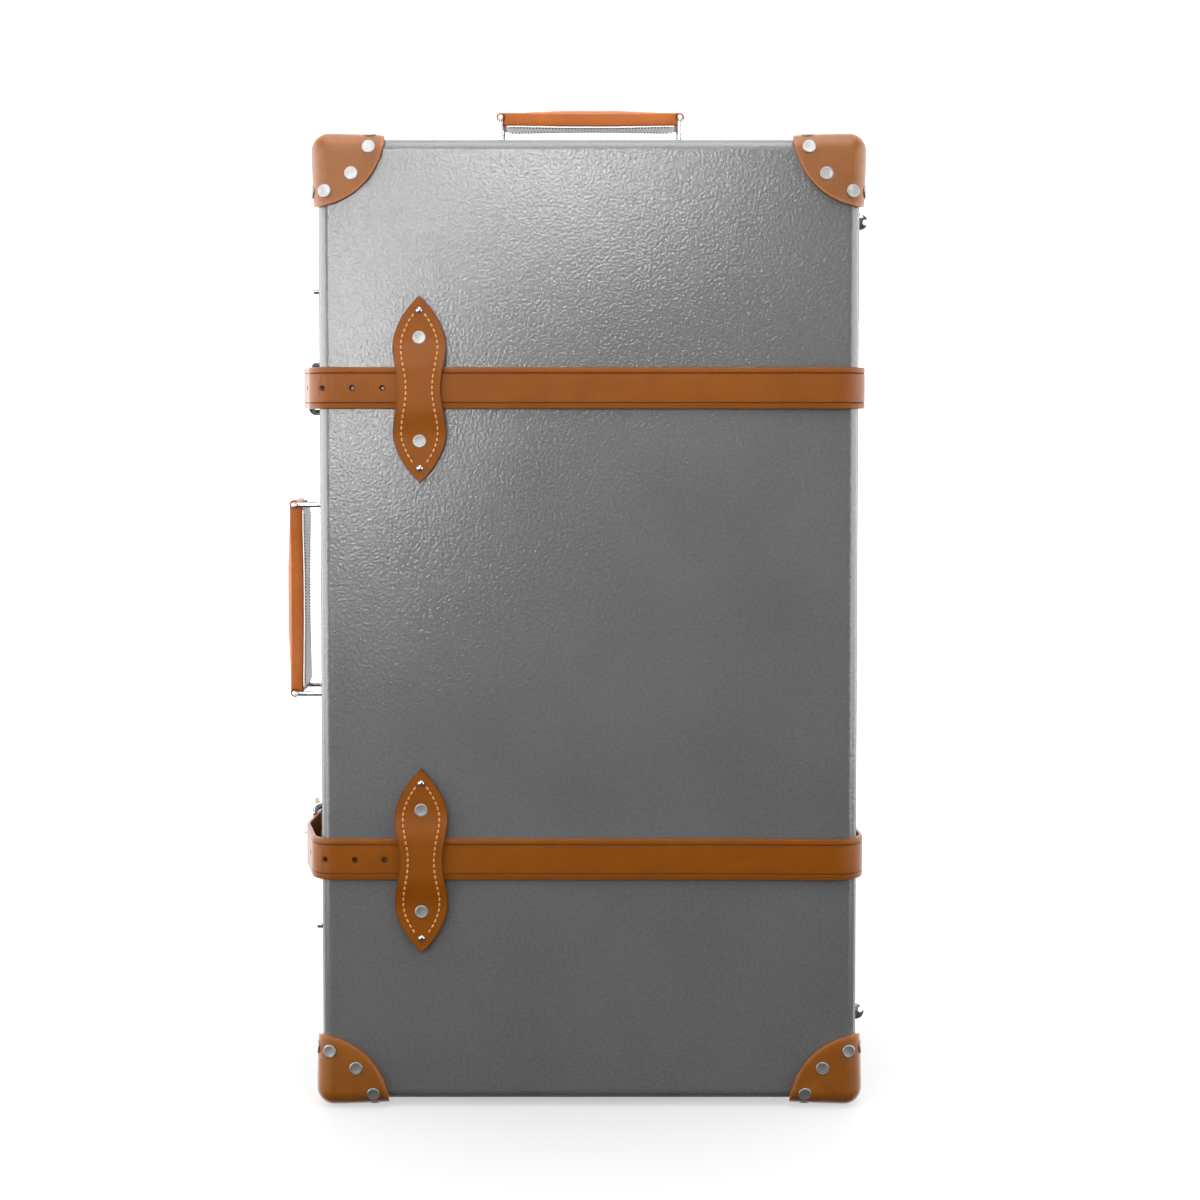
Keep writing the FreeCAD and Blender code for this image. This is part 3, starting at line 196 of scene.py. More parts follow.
def turn_over(piece: Piece) -> None:
    """Turn all the faces of a piece the other way.

    Args:
        piece: The piece to change.
    """
    edit_all(piece)
    bpy.ops.mesh.flip_normals()
    leave_edit()


def settle() -> None:
    """Write the active object's placement into its mesh."""
    bpy.ops.object.transform_apply(location=True, rotation=True, scale=True)


def block(centre: Sequence[float], size: Sequence[float]) -> Piece:
    """Add a block, the start of a piece or of a cutter.

    Args:
        centre: Its middle.
        size: Its length on each axis.

    Returns:
        The block.
    """
    clear_selection()
    bpy.ops.mesh.primitive_cube_add(size=1, location=centre)
    piece = bpy.context.object
    piece.scale = size
    settle()
    return piece


def modify(piece: Piece, kind: str, **settings: object) -> None:
    """Add a modifier and apply it.

    Args:
        piece: The piece to change.
        kind: Blender's name of the modifier type.
        settings: Values of the modifier's fields.
    """
    pick(piece)
    modifier = piece.modifiers.new(kind.lower(), kind)
    for key, value in settings.items():
        setattr(modifier, key, value)
    bpy.ops.object.modifier_apply(modifier=modifier.name)


def soften(piece: Piece, width: float, segments: int = 3, angle: float = 50.0) -> None:
    """Round the sharp edges of a piece.

    Args:
        piece: The piece to change.
        width: Width of the rounding.
        segments: Number of faces across the rounding.
        angle: Least angle of an edge that is rounded, in degrees.
    """
    modify(
        piece, "BEVEL", width=width, segments=segments, limit_method="ANGLE",
        angle_limit=math.radians(angle), harden_normals=False,
    )


def thicken(piece: Piece, thickness: float) -> None:
    """Give a sheet its thickness, inward from its outer face."""
    modify(piece, "SOLIDIFY", thickness=thickness, offset=-1, use_even_offset=True)


def weld(piece: Piece, fill: bool = False) -> None:
    """Merge doubled points, close open ends if asked, and turn all faces outwards.

    Args:
        piece: The piece to change.
        fill: Whether open ends get a face.
    """
    edit_all(piece)
    bpy.ops.mesh.remove_doubles(threshold=MERGE)
    if fill:
        bpy.ops.mesh.select_all(action="SELECT")
        bpy.ops.mesh.fill_holes(sides=0)
    bpy.ops.mesh.select_all(action="SELECT")
    bpy.ops.mesh.normals_make_consistent(inside=False)
    leave_edit()


def smooth(piece: Piece) -> None:
    """Shade a piece smoothly, apart from its sharp edges."""
    pick(piece)
    bpy.ops.object.shade_smooth_by_angle(angle=SMOOTH_ANGLE)


def spread_grid(rows: int, columns: int, place: Place) -> Piece:
    """Add a flat grid and move each of its points to its place on a piece.

    Args:
        rows: Number of faces along the piece.
        columns: Number of faces across the piece.
        place: Gives the place of a point from its row and column.

    Returns:
        The new piece, an open sheet.
    """
    clear_selection()
    bpy.ops.mesh.primitive_grid_add(x_subdivisions=rows, y_subdivisions=columns, size=2)
    piece = bpy.context.object
    for vertex in piece.data.vertices:
        row = round((vertex.co.x + 1) / 2 * rows)
        column = round((vertex.co.y + 1) / 2 * columns)
        vertex.co = place(row, column)
    return piece


def lathe(profile: Sequence[tuple[float, float]], segments: int = 32) -> Piece:
    """Turn a half profile about the Z axis.

    Args:
        profile: Radius and height of each point, from the axis round to the foot.
        segments: Number of faces round the axis.

    Returns:
        The turned piece, closed beneath.
    """
    def place(row: int, column: int) -> Vector:
        """A point of the turned profile."""
        radius, height = profile[row]
        angle = 2 * math.pi * column / segments
        return Vector((radius * math.cos(angle), radius * math.sin(angle), height))

    piece = spread_grid(len(profile) - 1, segments, place)
    weld(piece, fill=True)
    smooth(piece)
    return piece


def dome(radius: float, height: float, foot: float, steps: int, segments: int) -> Piece:
    """A half-round head of a nail or rivet.

    Args:
        radius: Radius of the head.
        height: Its height.
        foot: How far it reaches into the surface.
        steps: Number of faces from its top to its rim.
        segments: Number of faces round it.

    Returns:
        The head.
    """
    arc = [step * math.pi / 2 / steps for step in range(steps + 1)]
    profile = [(radius * math.sin(angle), height * math.cos(angle)) for angle in arc]
    return lathe(profile + [(radius, -foot)], segments)


def seat(point: Vector, outward: Vector) -> Matrix:
    """Placement at a point, with its Z axis outward from the surface."""
    return Matrix.Translation(point) @ Vector((0, 0, 1)).rotation_difference(outward).to_matrix().to_4x4()


def lay(point: Vector, heading: Vector, outward: Vector) -> Matrix:
    """Placement whose X axis lies along a seam on a surface.

    Args:
        point: Where the piece lies.
        heading: Direction of the seam.
        outward: Direction away from the surface.

    Returns:
        The placement.
    """
    side = outward.cross(heading).normalized()
    turn = Matrix((heading, side, heading.cross(side))).transposed().to_4x4()
    return Matrix.Translation(point) @ turn


def repeat(master: Piece, places: Sequence[Matrix]) -> Piece:
    """Copy one piece to many places, join the copies and remove the master.

    Args:
        master: The piece that repeats, drawn about the origin.
        places: Placement of each copy.

    Returns:
        One piece made of all the copies.
    """
    copies = []
    for place in places:
        copy = master.copy()
        copy.data = master.data.copy()
        copy.data.transform(place)
        bpy.context.scene.collection.objects.link(copy)
        copies.append(copy)
    bpy.data.objects.remove(master)
    return join(copies)


def join(pieces: Sequence[Piece]) -> Piece:
    """Join several meshes into the first.

    Args:
        pieces: The meshes to join.

    Returns:
        The joined piece.
    """
    pick(pieces[0])
    for piece in pieces[1:]:
        piece.select_set(True)
    bpy.ops.object.join()
    return pieces[0]


def carve(piece: Piece, tool: Piece) -> None:
    """Cut a tool's mesh out of a piece and remove the tool."""
    modify(piece, "BOOLEAN", operation="DIFFERENCE", object=tool, solver="EXACT")
    bpy.data.objects.remove(tool)


def polish(piece: Piece, burnish: Callable[[Vector], float]) -> None:
    """Shade a leather piece smoothly and keep each point's share of its edge colour, which its finish reads:
    burnish on keepers and grips, painted light on the corner rims and in the strap holes.

    Args:
        piece: The piece to mark.
        burnish: Gives the share of the edge colour from a point's place.
    """
    attribute = piece.data.attributes.new("edge", "FLOAT", "POINT")
    attribute.data.foreach_set("value", [burnish(vertex.co) for vertex in piece.data.vertices])
    smooth(piece)


def ease(low: float, high: float, value: float) -> float:
    """Smooth step from 0 at low to 1 at high."""
    share = min(1.0, max(0.0, (value - low) / (high - low)))
    return share * share * (3 - 2 * share)


def dress(piece: Piece, name: str, slot: Slot, finish: "Finish") -> None:
    """Name a piece, give it its finish, and move it from the case's middle into the frame.

    Args:
        piece: The finished mesh, drawn about the case's middle.
        name: Name of the piece.
        slot: Material slot of the record; not used.
        finish: Its look.
    """
    piece.name = name
    piece.data.name = name
    piece.data.transform(Matrix.Translation((CASE.middle_x, 0, 0)))
    piece.data.materials.append(finish.material())


def present(
    piece: Piece, name: str, body: str, slot: Slot, finish: "Finish", nodes: Sequence[str] = (),
) -> None:
    """Dress a piece, let it ride on its body and stand for CAD nodes.

    Args:
        piece: The finished mesh, drawn about the case's middle.
        name: Name of the piece.
        body: The body that carries it.
        slot: Material slot of the record.
        finish: Its look.
        nodes: The CAD nodes that it stands for.
    """
    dress(piece, name, slot, finish)
    if nodes:
        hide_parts(*nodes)
    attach(piece, body)
    LOG.info("%s: %d faces on %s", name, len(piece.data.polygons), body)


# Finishes

class Dye:
    """Node tree of one finish: a principled shader with helpers to feed it."""

    def __init__(self, name: str) -> None:
        """Start a material with one principled shader.

        Args:
            name: Name of the material.
        """
        self.material = bpy.data.materials.new(name)
        self.material.use_nodes = True
        self.tree = self.material.node_tree
        self.shader = next(node for node in self.tree.nodes if node.type == "BSDF_PRINCIPLED")
        self.coordinates = self.node("ShaderNodeTexCoord").outputs["Object"]

    def fill(self, node: bpy.types.Node, values: dict[object, object]) -> None:
        """Set a node's inputs: a socket is linked, and anything else is a fixed value.

        Args:
            node: The node.
            values: What each input gets, by its name or place.
        """
        for key, value in values.items():
            if isinstance(value, Socket):
                self.tree.links.new(value, node.inputs[key])
            else:
                node.inputs[key].default_value = value

    def feed(self, **values: object) -> None:
        """Set or link the shader's own inputs; an underscore stands for a space."""
        self.fill(self.shader, {key.replace("_", " "): value for key, value in values.items()})

    def node(
        self, kind: str, values: Optional[dict[object, object]] = None, **settings: object,
    ) -> bpy.types.Node:
        """Add a node and set its fields and inputs.

        Args:
            kind: Blender's node type.
            values: What its inputs get.
            settings: Values of the node's fields.

        Returns:
            The node.
        """
        made = self.tree.nodes.new(kind)
        for key, value in settings.items():
            setattr(made, key, value)
        self.fill(made, values or {})
        return made

    def stretched(self, scale: Triple) -> Socket:
        """Object coordinates stretched by a scale on each axis."""
        return self.node("ShaderNodeMapping", {"Scale": scale, "Vector": self.coordinates}).outputs["Vector"]

    def noise(
        self, scale: float, detail: float = 3.0, roughness: float = 0.5, distortion: float = 0.0,
        vector: Optional[Socket] = None,
    ) -> Socket:
        """Noise on the object's own coordinates.

        Args:
            scale: Waves per metre.
            detail: Number of finer layers.
            roughness: Strength of the finer layers.
            distortion: How far the pattern is drawn about.
            vector: Coordinates to use instead.

        Returns:
            The noise's value.
        """
        values = {"Scale": scale, "Detail": detail, "Roughness": roughness, "Distortion": distortion}
        values["Vector"] = vector or self.coordinates
        return self.node("ShaderNodeTexNoise", values).outputs["Fac"]

    def cells(self, scale: float, feature: str = "SMOOTH_F1") -> Socket:
        """Distance value of a pattern with so many cells per metre."""
        values = {"Scale": scale, "Vector": self.coordinates}
        return self.node("ShaderNodeTexVoronoi", values, feature=feature).outputs["Distance"]

    def attribute(self, name: str) -> Socket:
        """Value of an attribute that the piece carries."""
        return self.node("ShaderNodeAttribute", attribute_name=name).outputs["Fac"]

    def ramp(self, source: Socket, low: float, high: float) -> Socket:
        """Stretch a value so that low becomes 0 and high becomes 1, within those bounds."""
        values = {"Value": source, "From Min": low, "From Max": high}
        return self.node("ShaderNodeMapRange", values, interpolation_type="SMOOTHSTEP").outputs["Result"]

    def level(
        self, source: Socket, low: float, high: float, start: float = 0.0, end: float = 1.0,
    ) -> Socket:
        """Turn a value from start to end into one from low to high."""
        values = {"Value": source, "From Min": start, "From Max": end, "To Min": low, "To Max": high}
        return self.node("ShaderNodeMapRange", values).outputs["Result"]

    def math(self, operation: str, first: Socket, second: object) -> Socket:
        """Combine a value with a number or another value."""
        return self.node("ShaderNodeMath", {0: first, 1: second}, operation=operation).outputs[0]

    def weigh(
        self, first: Socket, second: Socket, share: float,
    ) -> Socket:
        """Add two values, the first by its share and the second by the rest."""
        rest = self.math("MULTIPLY", second, 1 - share)
        return self.math("ADD", self.math("MULTIPLY", first, share), rest)

    def mix(self, share: Socket, *colours: object) -> Socket:
        """Mix two colours, each a tuple or a socket; a share of 0 gives the first and 1 the second."""
        first, second = [(*colour, 1) if isinstance(colour, tuple) else colour for colour in colours]
        return self.node("ShaderNodeMix", {"Factor": share, 6: first, 7: second}, data_type="RGBA").outputs[2]

    def bump(
        self, height: Socket, strength: float, distance: float,
        under: Optional[Socket] = None,
    ) -> Socket:
        """Raise the surface by a height and lead it to the shader.

        Args:
            height: The height pattern.
            strength: Share of the bump that shows.
            distance: Height of the bump in metres.
            under: A bump that lies beneath this one.

        Returns:
            The bumped normal.
        """
        values = {"Strength": strength, "Distance": distance, "Height": height}
        if under is not None:
            values["Normal"] = under
        normal = self.node("ShaderNodeBump", values).outputs["Normal"]
        self.feed(Normal=normal)
        return normal


@dataclass(frozen=True)
class Finish:
    """A look that is made into one material."""

    name: str

    @lru_cache(maxsize=None)
    def material(self) -> bpy.types.Material:
        """Make the material once.

        Returns:
            The material.
        """
        dye = Dye(self.name)
        self.colour_in(dye)
        return dye.material

    def colour_in(self, dye: Dye) -> None:
        """Lay the look's patterns on a fresh dye."""
        raise NotImplementedError


@dataclass(frozen=True)
class Fibre(Finish):
    """Grey vulcanised fibre with a pebbled, satin surface."""

    name: str = "grey fibre"
    dark: Triple = (0.079, 0.079, 0.079)
    light: Triple = (0.099, 0.099, 0.100)
    pebble: float = 520.0
    wrinkle: float = 370.0
    cloud: float = 9.0
    specular: float = 0.8
    glancing_dull: float = 0.5

    def colour_in(self, dye: Dye) -> None:
        """Wrinkle and pebble the board, and dull it at a glancing angle.

        Args:
            dye: The dye to colour in.
        """
        wrinkles = dye.noise(self.wrinkle, distortion=0.15)
        pebbles = dye.cells(self.pebble)
        cloud = dye.noise(self.cloud)
        shade = dye.ramp(dye.weigh(wrinkles, cloud, 0.6), 0.3, 0.7)
        glancing = dye.ramp(dye.node("ShaderNodeLayerWeight").outputs["Facing"], 0.45, 0.85)
        dull = dye.math("ADD", dye.level(cloud, 0.21, 0.27), dye.math("MULTIPLY", glancing, self.glancing_dull))
        dye.feed(
            Base_Color=dye.mix(shade, self.dark, self.light), Roughness=dull, Specular_IOR_Level=self.specular,
        )
        low = dye.bump(wrinkles, 0.70, 0.00045)
        dye.bump(pebbles, 0.20, 0.0003, under=low)


@dataclass(frozen=True)
class Leather(Finish):
    """Waxed leather with fine grain, cloudy colour and an edge colour on marked places: burnished edges on
    keepers and grips, a painted highlight on corner rims, darker creases and painted shade in strap holes.
    """

    deep: Triple
    bright: Triple
    # Colour laid on the marked places: burnish on keepers and grips, painted light on the corner rims and in
    # the strap holes.
    edge: Triple
    shine: float = 0.36
    specular: float = 0.16
    grain: float = 1150.0

    def colour_in(self, dye: Dye) -> None:
        """Cloud the colour, lay the edge colour on the marked places, which is burnish on some pieces and
        painted light on others, and raise the grain.

        Args:
            dye: The dye to colour in.
        """
        cloud = dye.noise(26, detail=4, roughness=0.6, distortion=0.4)
        pores = dye.cells(self.grain, "DISTANCE_TO_EDGE")
        fine = dye.noise(420, detail=4, roughness=0.6)
        leather = dye.mix(dye.ramp(dye.weigh(cloud, fine, 0.75), 0.28, 0.72), self.deep, self.bright)
        dye.feed(
            Base_Color=dye.mix(dye.attribute("edge"), leather, self.edge),
            Roughness=dye.level(fine, self.shine - 0.05, self.shine + 0.07),
            Coat_Weight=0.02, Coat_Roughness=0.25, Specular_IOR_Level=self.specular,
        )
        low = dye.bump(fine, 0.3, 0.0004)
        dye.bump(dye.ramp(pores, 0.0, 0.25), 0.3, 0.0003, under=low)


@dataclass(frozen=True)
class Metal(Finish):
    """Plated metal with faint wear."""

    colour: Triple
    worn: Triple
    smoothest: float
    roughest: float

    def colour_in(self, dye: Dye) -> None:
        """Wear the plating in places.

        Args:
            dye: The dye to colour in.
        """
        wear = dye.noise(240, detail=4, roughness=0.6)
        dye.feed(
            Base_Color=dye.mix(dye.ramp(wear, 0.4, 0.75), self.colour, self.worn),
            Roughness=dye.level(wear, self.smoothest, self.roughest), Metallic=1.0,
        )
        dye.bump(dye.noise(2600, detail=2), 0.05, 0.0001)


@dataclass(frozen=True)
class Thread(Finish):
    """Waxed thread with its twist."""

    light: Triple
    dark: Triple

    def colour_in(self, dye: Dye) -> None:
        """Twist the thread.

        Args:
            dye: The dye to colour in.
        """
        twist = dye.noise(2400, detail=2)
        dye.feed(Base_Color=dye.mix(twist, self.dark, self.light), Roughness=dye.level(twist, 0.5, 0.7))
        dye.bump(twist, 0.3, 0.0002)


@dataclass(frozen=True)
class Wood(Finish):
    """Bare ash with its grain along the rails."""

    name: str = "bare ash"
    pale: Triple = (0.56, 0.40, 0.23)
    dark: Triple = (0.38, 0.24, 0.12)
    grain: Triple = (22, 240, 22)

    def colour_in(self, dye: Dye) -> None:
        """Draw the grain.

        Args:
            dye: The dye to colour in.
        """
        grain = dye.noise(1, detail=6, roughness=0.65, distortion=0.6, vector=dye.stretched(self.grain))
        colour = dye.mix(dye.ramp(grain, 0.35, 0.7), self.pale, self.dark)
        dye.feed(Base_Color=colour, Roughness=dye.level(grain, 0.5, 0.65))
        dye.bump(grain, 0.2, 0.0004)


@dataclass(frozen=True)
class Paper(Finish):
    """Pasted lining with flecks of fibre."""

    name: str = "lining paper"
    warm: Triple = (0.34, 0.27, 0.19)
    cool: Triple = (0.25, 0.20, 0.15)

    def colour_in(self, dye: Dye) -> None:
        """Scatter the flecks over a cloudy colour.

        Args:
            dye: The dye to colour in.
        """
        flecks = dye.noise(900, detail=5, roughness=0.7, distortion=0.8)
        shade = dye.ramp(dye.weigh(flecks, dye.noise(14), 0.7), 0.35, 0.65)
        dye.feed(Base_Color=dye.mix(shade, self.cool, self.warm), Roughness=dye.level(flecks, 0.78, 0.9))
        dye.bump(flecks, 0.25, 0.0003)


FIBRE = Fibre()
# The corners' edge colour is lighter than their leather: a painted highlight along the rim, for the light that
# its rounded cut edge catches.
CORNER_LEATHER = Leather(
    "corner leather", (0.160, 0.047, 0.002), (0.212, 0.066, 0.003), (0.26, 0.082, 0.016), shine=0.31,
    specular=0.42,
)
# The straps' dark edge colour lies along the creases, and as painted shade on the walls of the punched holes.
STRAP_LEATHER = Leather(
    "strap leather", (0.155, 0.041, 0.0003), (0.185, 0.051, 0.0005), (0.09, 0.020, 0.002), shine=0.32,
    specular=0.18,
)
HANDLE_LEATHER = Leather(
    "handle leather", (0.305, 0.080, 0.012), (0.385, 0.108, 0.018), (0.22, 0.044, 0.006), shine=0.40,
)
PALE_LEATHER = Leather(
    "pale leather", (0.86, 0.83, 0.79), (0.94, 0.92, 0.89), (0.60, 0.50, 0.42), shine=0.55,
)
CHROME = Metal("chrome", (0.46, 0.46, 0.47), (0.37, 0.37, 0.38), 0.16, 0.26)
NICKEL = Metal("satin nickel", (0.37, 0.37, 0.365), (0.29, 0.29, 0.285), 0.45, 0.60)
TAN_THREAD = Thread("tan thread", (0.60, 0.26, 0.06), (0.46, 0.17, 0.035))
DARK_THREAD = Thread("dark thread", (0.05, 0.032, 0.025), (0.02, 0.013, 0.010))
# Dark marks between the stitches, drawn with the thread's finish, are painted shade of the needle holes.
NEEDLE_HOLE_SHADE = Thread("needle hole", (0.05, 0.02, 0.008), (0.03, 0.012, 0.005))
ASH = Wood()
LINING = Paper()


# Shells and linings

@dataclass
class Tray:
    """A shallow box of board or lining, open at the parting of the case."""

    mouth: float
    face: float
    inset: float
    thickness: float
    steps: int = 8

    def build(self) -> Piece:
        """Round a block, open its mouth and give it a wall.

        Returns:
            The tray.
        """
        half_depth = abs(self.face - self.mouth) / 2
        size = Vector((CASE.half_width - self.inset, half_depth, CASE.half_height - self.inset))
        centre = Vector((0, (self.face + self.mouth) / 2, CASE.middle))
        piece = block(centre, size * 2)
        choose(piece, Shape.EDGE, lambda edge: abs(edge.verts[0].co.y - edge.verts[1].co.y) > size.y)
        bpy.ops.mesh.bevel(offset=CASE.corner_radius - self.inset, segments=self.steps, affect="EDGES")
        choose(piece, Shape.EDGE, lambda edge: all(abs(vert.co.y - self.face) < MERGE for vert in edge.verts))
        bpy.ops.mesh.bevel(offset=CASE.edge_radius - self.inset, segments=self.steps, affect="EDGES")
        choose(piece, Shape.FACE, lambda face: all(abs(vert.co.y - self.mouth) < MERGE for vert in face.verts))
        bpy.ops.mesh.delete(type="ONLY_FACE")
        leave_edit()
        thicken(piece, self.thickness)
        soften(piece, self.thickness / 6, 2, 60)
        smooth(piece)
        return piece


@dataclass
class CaseHalf:
    """The board shell, the lining and the wooden rim of one half."""

    half: Half
    lining_gap: float = 0.0005
    lining_thickness: float = 0.0008
    rim_depth: float = 0.0245

    def build(self) -> None:
        """Make the shell and the lining, and finish the wooden rim."""
        side = self.half.value
        mouth = CASE.parting + side * CASE.half_gap
        face = side * CASE.half_depth
        body = self.half.body
        shell = Tray(mouth, face, 0, CASE.wall).build()
        present(shell, f"{body}_board", body, Slot.FIBRE, FIBRE, [f"{body}_shell"])
        inset = CASE.wall + self.lining_gap
        rim_foot = CASE.parting + side * self.rim_depth
        lining = Tray(rim_foot, face - side * inset, inset, self.lining_thickness).build()
        present(lining, f"{body}_inside", body, Slot.LINING, LINING, [f"{body}_lining"])
        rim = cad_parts[f"{body}_frame"]
        rim.data.materials.clear()
        rim.data.materials.append(ASH.material())


# Moulded leather corners

@dataclass
class LeatherCorner:
    """One moulded cap: thick at its point, thinner to its round rim, with three rivets on each face."""

    half: Half
    level: Level
    side: int
    reach: float = 0.0648
    thickness: float = 0.0060
    rim_thickness: float = 0.0042
    rounding: float = 0.0165
    rim_rounding: float = 0.0022
    rim_start: float = 0.958
    rim_full: float = 0.980
    fit_gap: float = 0.0001
    cuts: int = 27
    rivet_near: float = 0.0130
    rivet_far: float = 0.0512
    rivet_middle: float = 0.0362
    rivet_sunk: float = 0.0011

    @property
    def name(self) -> str:
        """The corner's CAD node."""
        upright = "top" if self.level is Level.UPPER else "bottom"
        across = "left" if self.side < 0 else "right"
        return f"{self.half.body}_corner_{upright}_{across}"

    @property
    def signs(self) -> Vector:
        """Which way the corner points on each axis."""
        return Vector((self.side, self.half.value, self.level.value))

    @property
    def apex(self) -> Vector:
        """The sharp corner of a block round the leather."""
        spread = Vector((CASE.half_width, CASE.half_depth, CASE.half_height)) + Vector((self.thickness,) * 3)
        return Vector((0, 0, CASE.middle)) + spread * self.signs

    def skin(self, inset: Vector) -> Pair:
        """Lay a point of the sharp block on the moulded leather.

        Args:
            inset: Distances of the point from the apex, inward on each axis; one of them is zero.

        Returns:
            Its place on the leather and the direction outward.
        """
        centre = Vector([max(value, self.rounding) for value in inset])
        outward = (inset - centre).normalized()
        drop = (self.thickness - self.rim_thickness) * min(1.0, inset.length / self.reach) ** 2
        point = centre + outward * (self.rounding - drop)
        return self.apex - point * self.signs, -(outward * self.signs)

    def build(self) -> None:
        """Mould the cap from three sides of a cube and give it its thickness and its rim, coloured lighter as a
        painted highlight.
        """
        piece = block((0.5, 0.5, 0.5), (1, 1, 1))
        choose(piece, Shape.FACE, lambda face: max(face.calc_center_median()) > 0.9)
        bpy.ops.mesh.delete(type="FACE")
        bpy.ops.mesh.select_all(action="SELECT")
        bpy.ops.mesh.subdivide(number_cuts=self.cuts)
        leave_edit()
        for vertex in piece.data.vertices:
            share = vertex.co.copy()
            squares = share * share
            rest = squares.x + squares.y + squares.z
            inset = Vector([value * math.sqrt(1 - (rest - value * value) / 2) for value in share]) * self.reach
            vertex.co = self.skin(inset)[0]
        weld(piece)
        face = piece.data.polygons[0]
        inward = Vector((0, 0, CASE.middle)) - Vector(face.center)
        if face.normal.dot(inward) > 0:
            turn_over(piece)
        thicken(piece, self.rim_thickness - self.fit_gap)
        soften(piece, self.rim_rounding, 4, 55)
        polish(piece, self.burnish)
        present(piece, self.name + "_cap", self.half.body, Slot.LEATHER, CORNER_LEATHER, [self.name])

    def burnish(self, point: Vector) -> float:
        """How near a point lies to the rim, from 0 to 1."""
        # Share of the lighter edge colour, a painted highlight along the rim.
        return 0.9 * ease(self.rim_start, self.rim_full, (point - self.apex).length / self.reach)

    def rivet_seats(self) -> Iterator[Matrix]:
        """Seats of the nine rivets.

        Yields:
            The placement of each rivet.
        """
        spots = (
            (self.rivet_far, self.rivet_near),
            (self.rivet_middle, self.rivet_middle),
            (self.rivet_near, self.rivet_far),
        )
        for axis in range(3):
            for first, second in spots:
                inset = [first, second]
                inset.insert(axis, 0.0)
                point, outward = self.skin(Vector(inset))
                sunk = self.rivet_sunk if axis == 2 and self.level is Level.LOWER else 0.0
                yield seat(point - outward * sunk, outward)


@dataclass
class Rivets:
    """Flat nickel rivets of the corners and keepers, and domed nails of the keepers, of one half."""

    half: Half
    head: float = 0.00575
    height: float = 0.0008
    nail: float = 0.0029
    nail_height: float = 0.0018
    nail_foot: float = 0.2

    def rivet(self) -> Piece:
        """A flat head with a low rim."""
        radius, height = self.head, self.height
        return lathe([
            (0, height * 0.82), (radius * 0.70, height * 0.82), (radius * 0.80, height),
            (radius * 0.90, height), (radius * 0.97, height * 0.8), (radius, height * 0.45),
            (radius, -height * 0.4),
        ])

    def build(self, corners: Sequence[LeatherCorner], keepers: Sequence["Keeper"]) -> None:
        """Set the rivets and nails of one half.

        Args:
            corners: The half's leather corners.
            keepers: The half's strap keepers.
        """
        body = self.half.body
        seats = [place for corner in corners for place in corner.rivet_seats()]
        seats += [place for keeper in keepers for place in keeper.fastener_seats(keeper.rivet)]
        rivets = repeat(self.rivet(), seats)
        present(rivets, f"{body}_rivet_heads", body, Slot.NICKEL, NICKEL, [f"{body}_leather_rivets"])
        head = dome(self.nail, self.nail_height, self.nail_height * self.nail_foot, 7, 20)
        nails = repeat(head, [place for keeper in keepers for place in keeper.fastener_seats(keeper.nail)])
        present(nails, f"{body}_nail_heads", body, Slot.NICKEL, CHROME, [f"{body}_keeper_nails"])


# Strap keepers

def stitch_master(length: float, width: float, height: float) -> Piece:
    """One stitch of a few faces, lying along X.

    Args:
        length: Length of the stitch.
        width: Its width.
        height: Its height.

    Returns:
        The stitch.
    """
    clear_selection()
    bpy.ops.mesh.primitive_uv_sphere_add(segments=6, ring_count=4, radius=0.5)
    piece = bpy.context.object
    piece.rotation_euler = (0, math.pi / 2, 0)
    settle()
    piece.scale = (length, width, height)
    settle()
    bpy.ops.object.shade_smooth()
    return piece


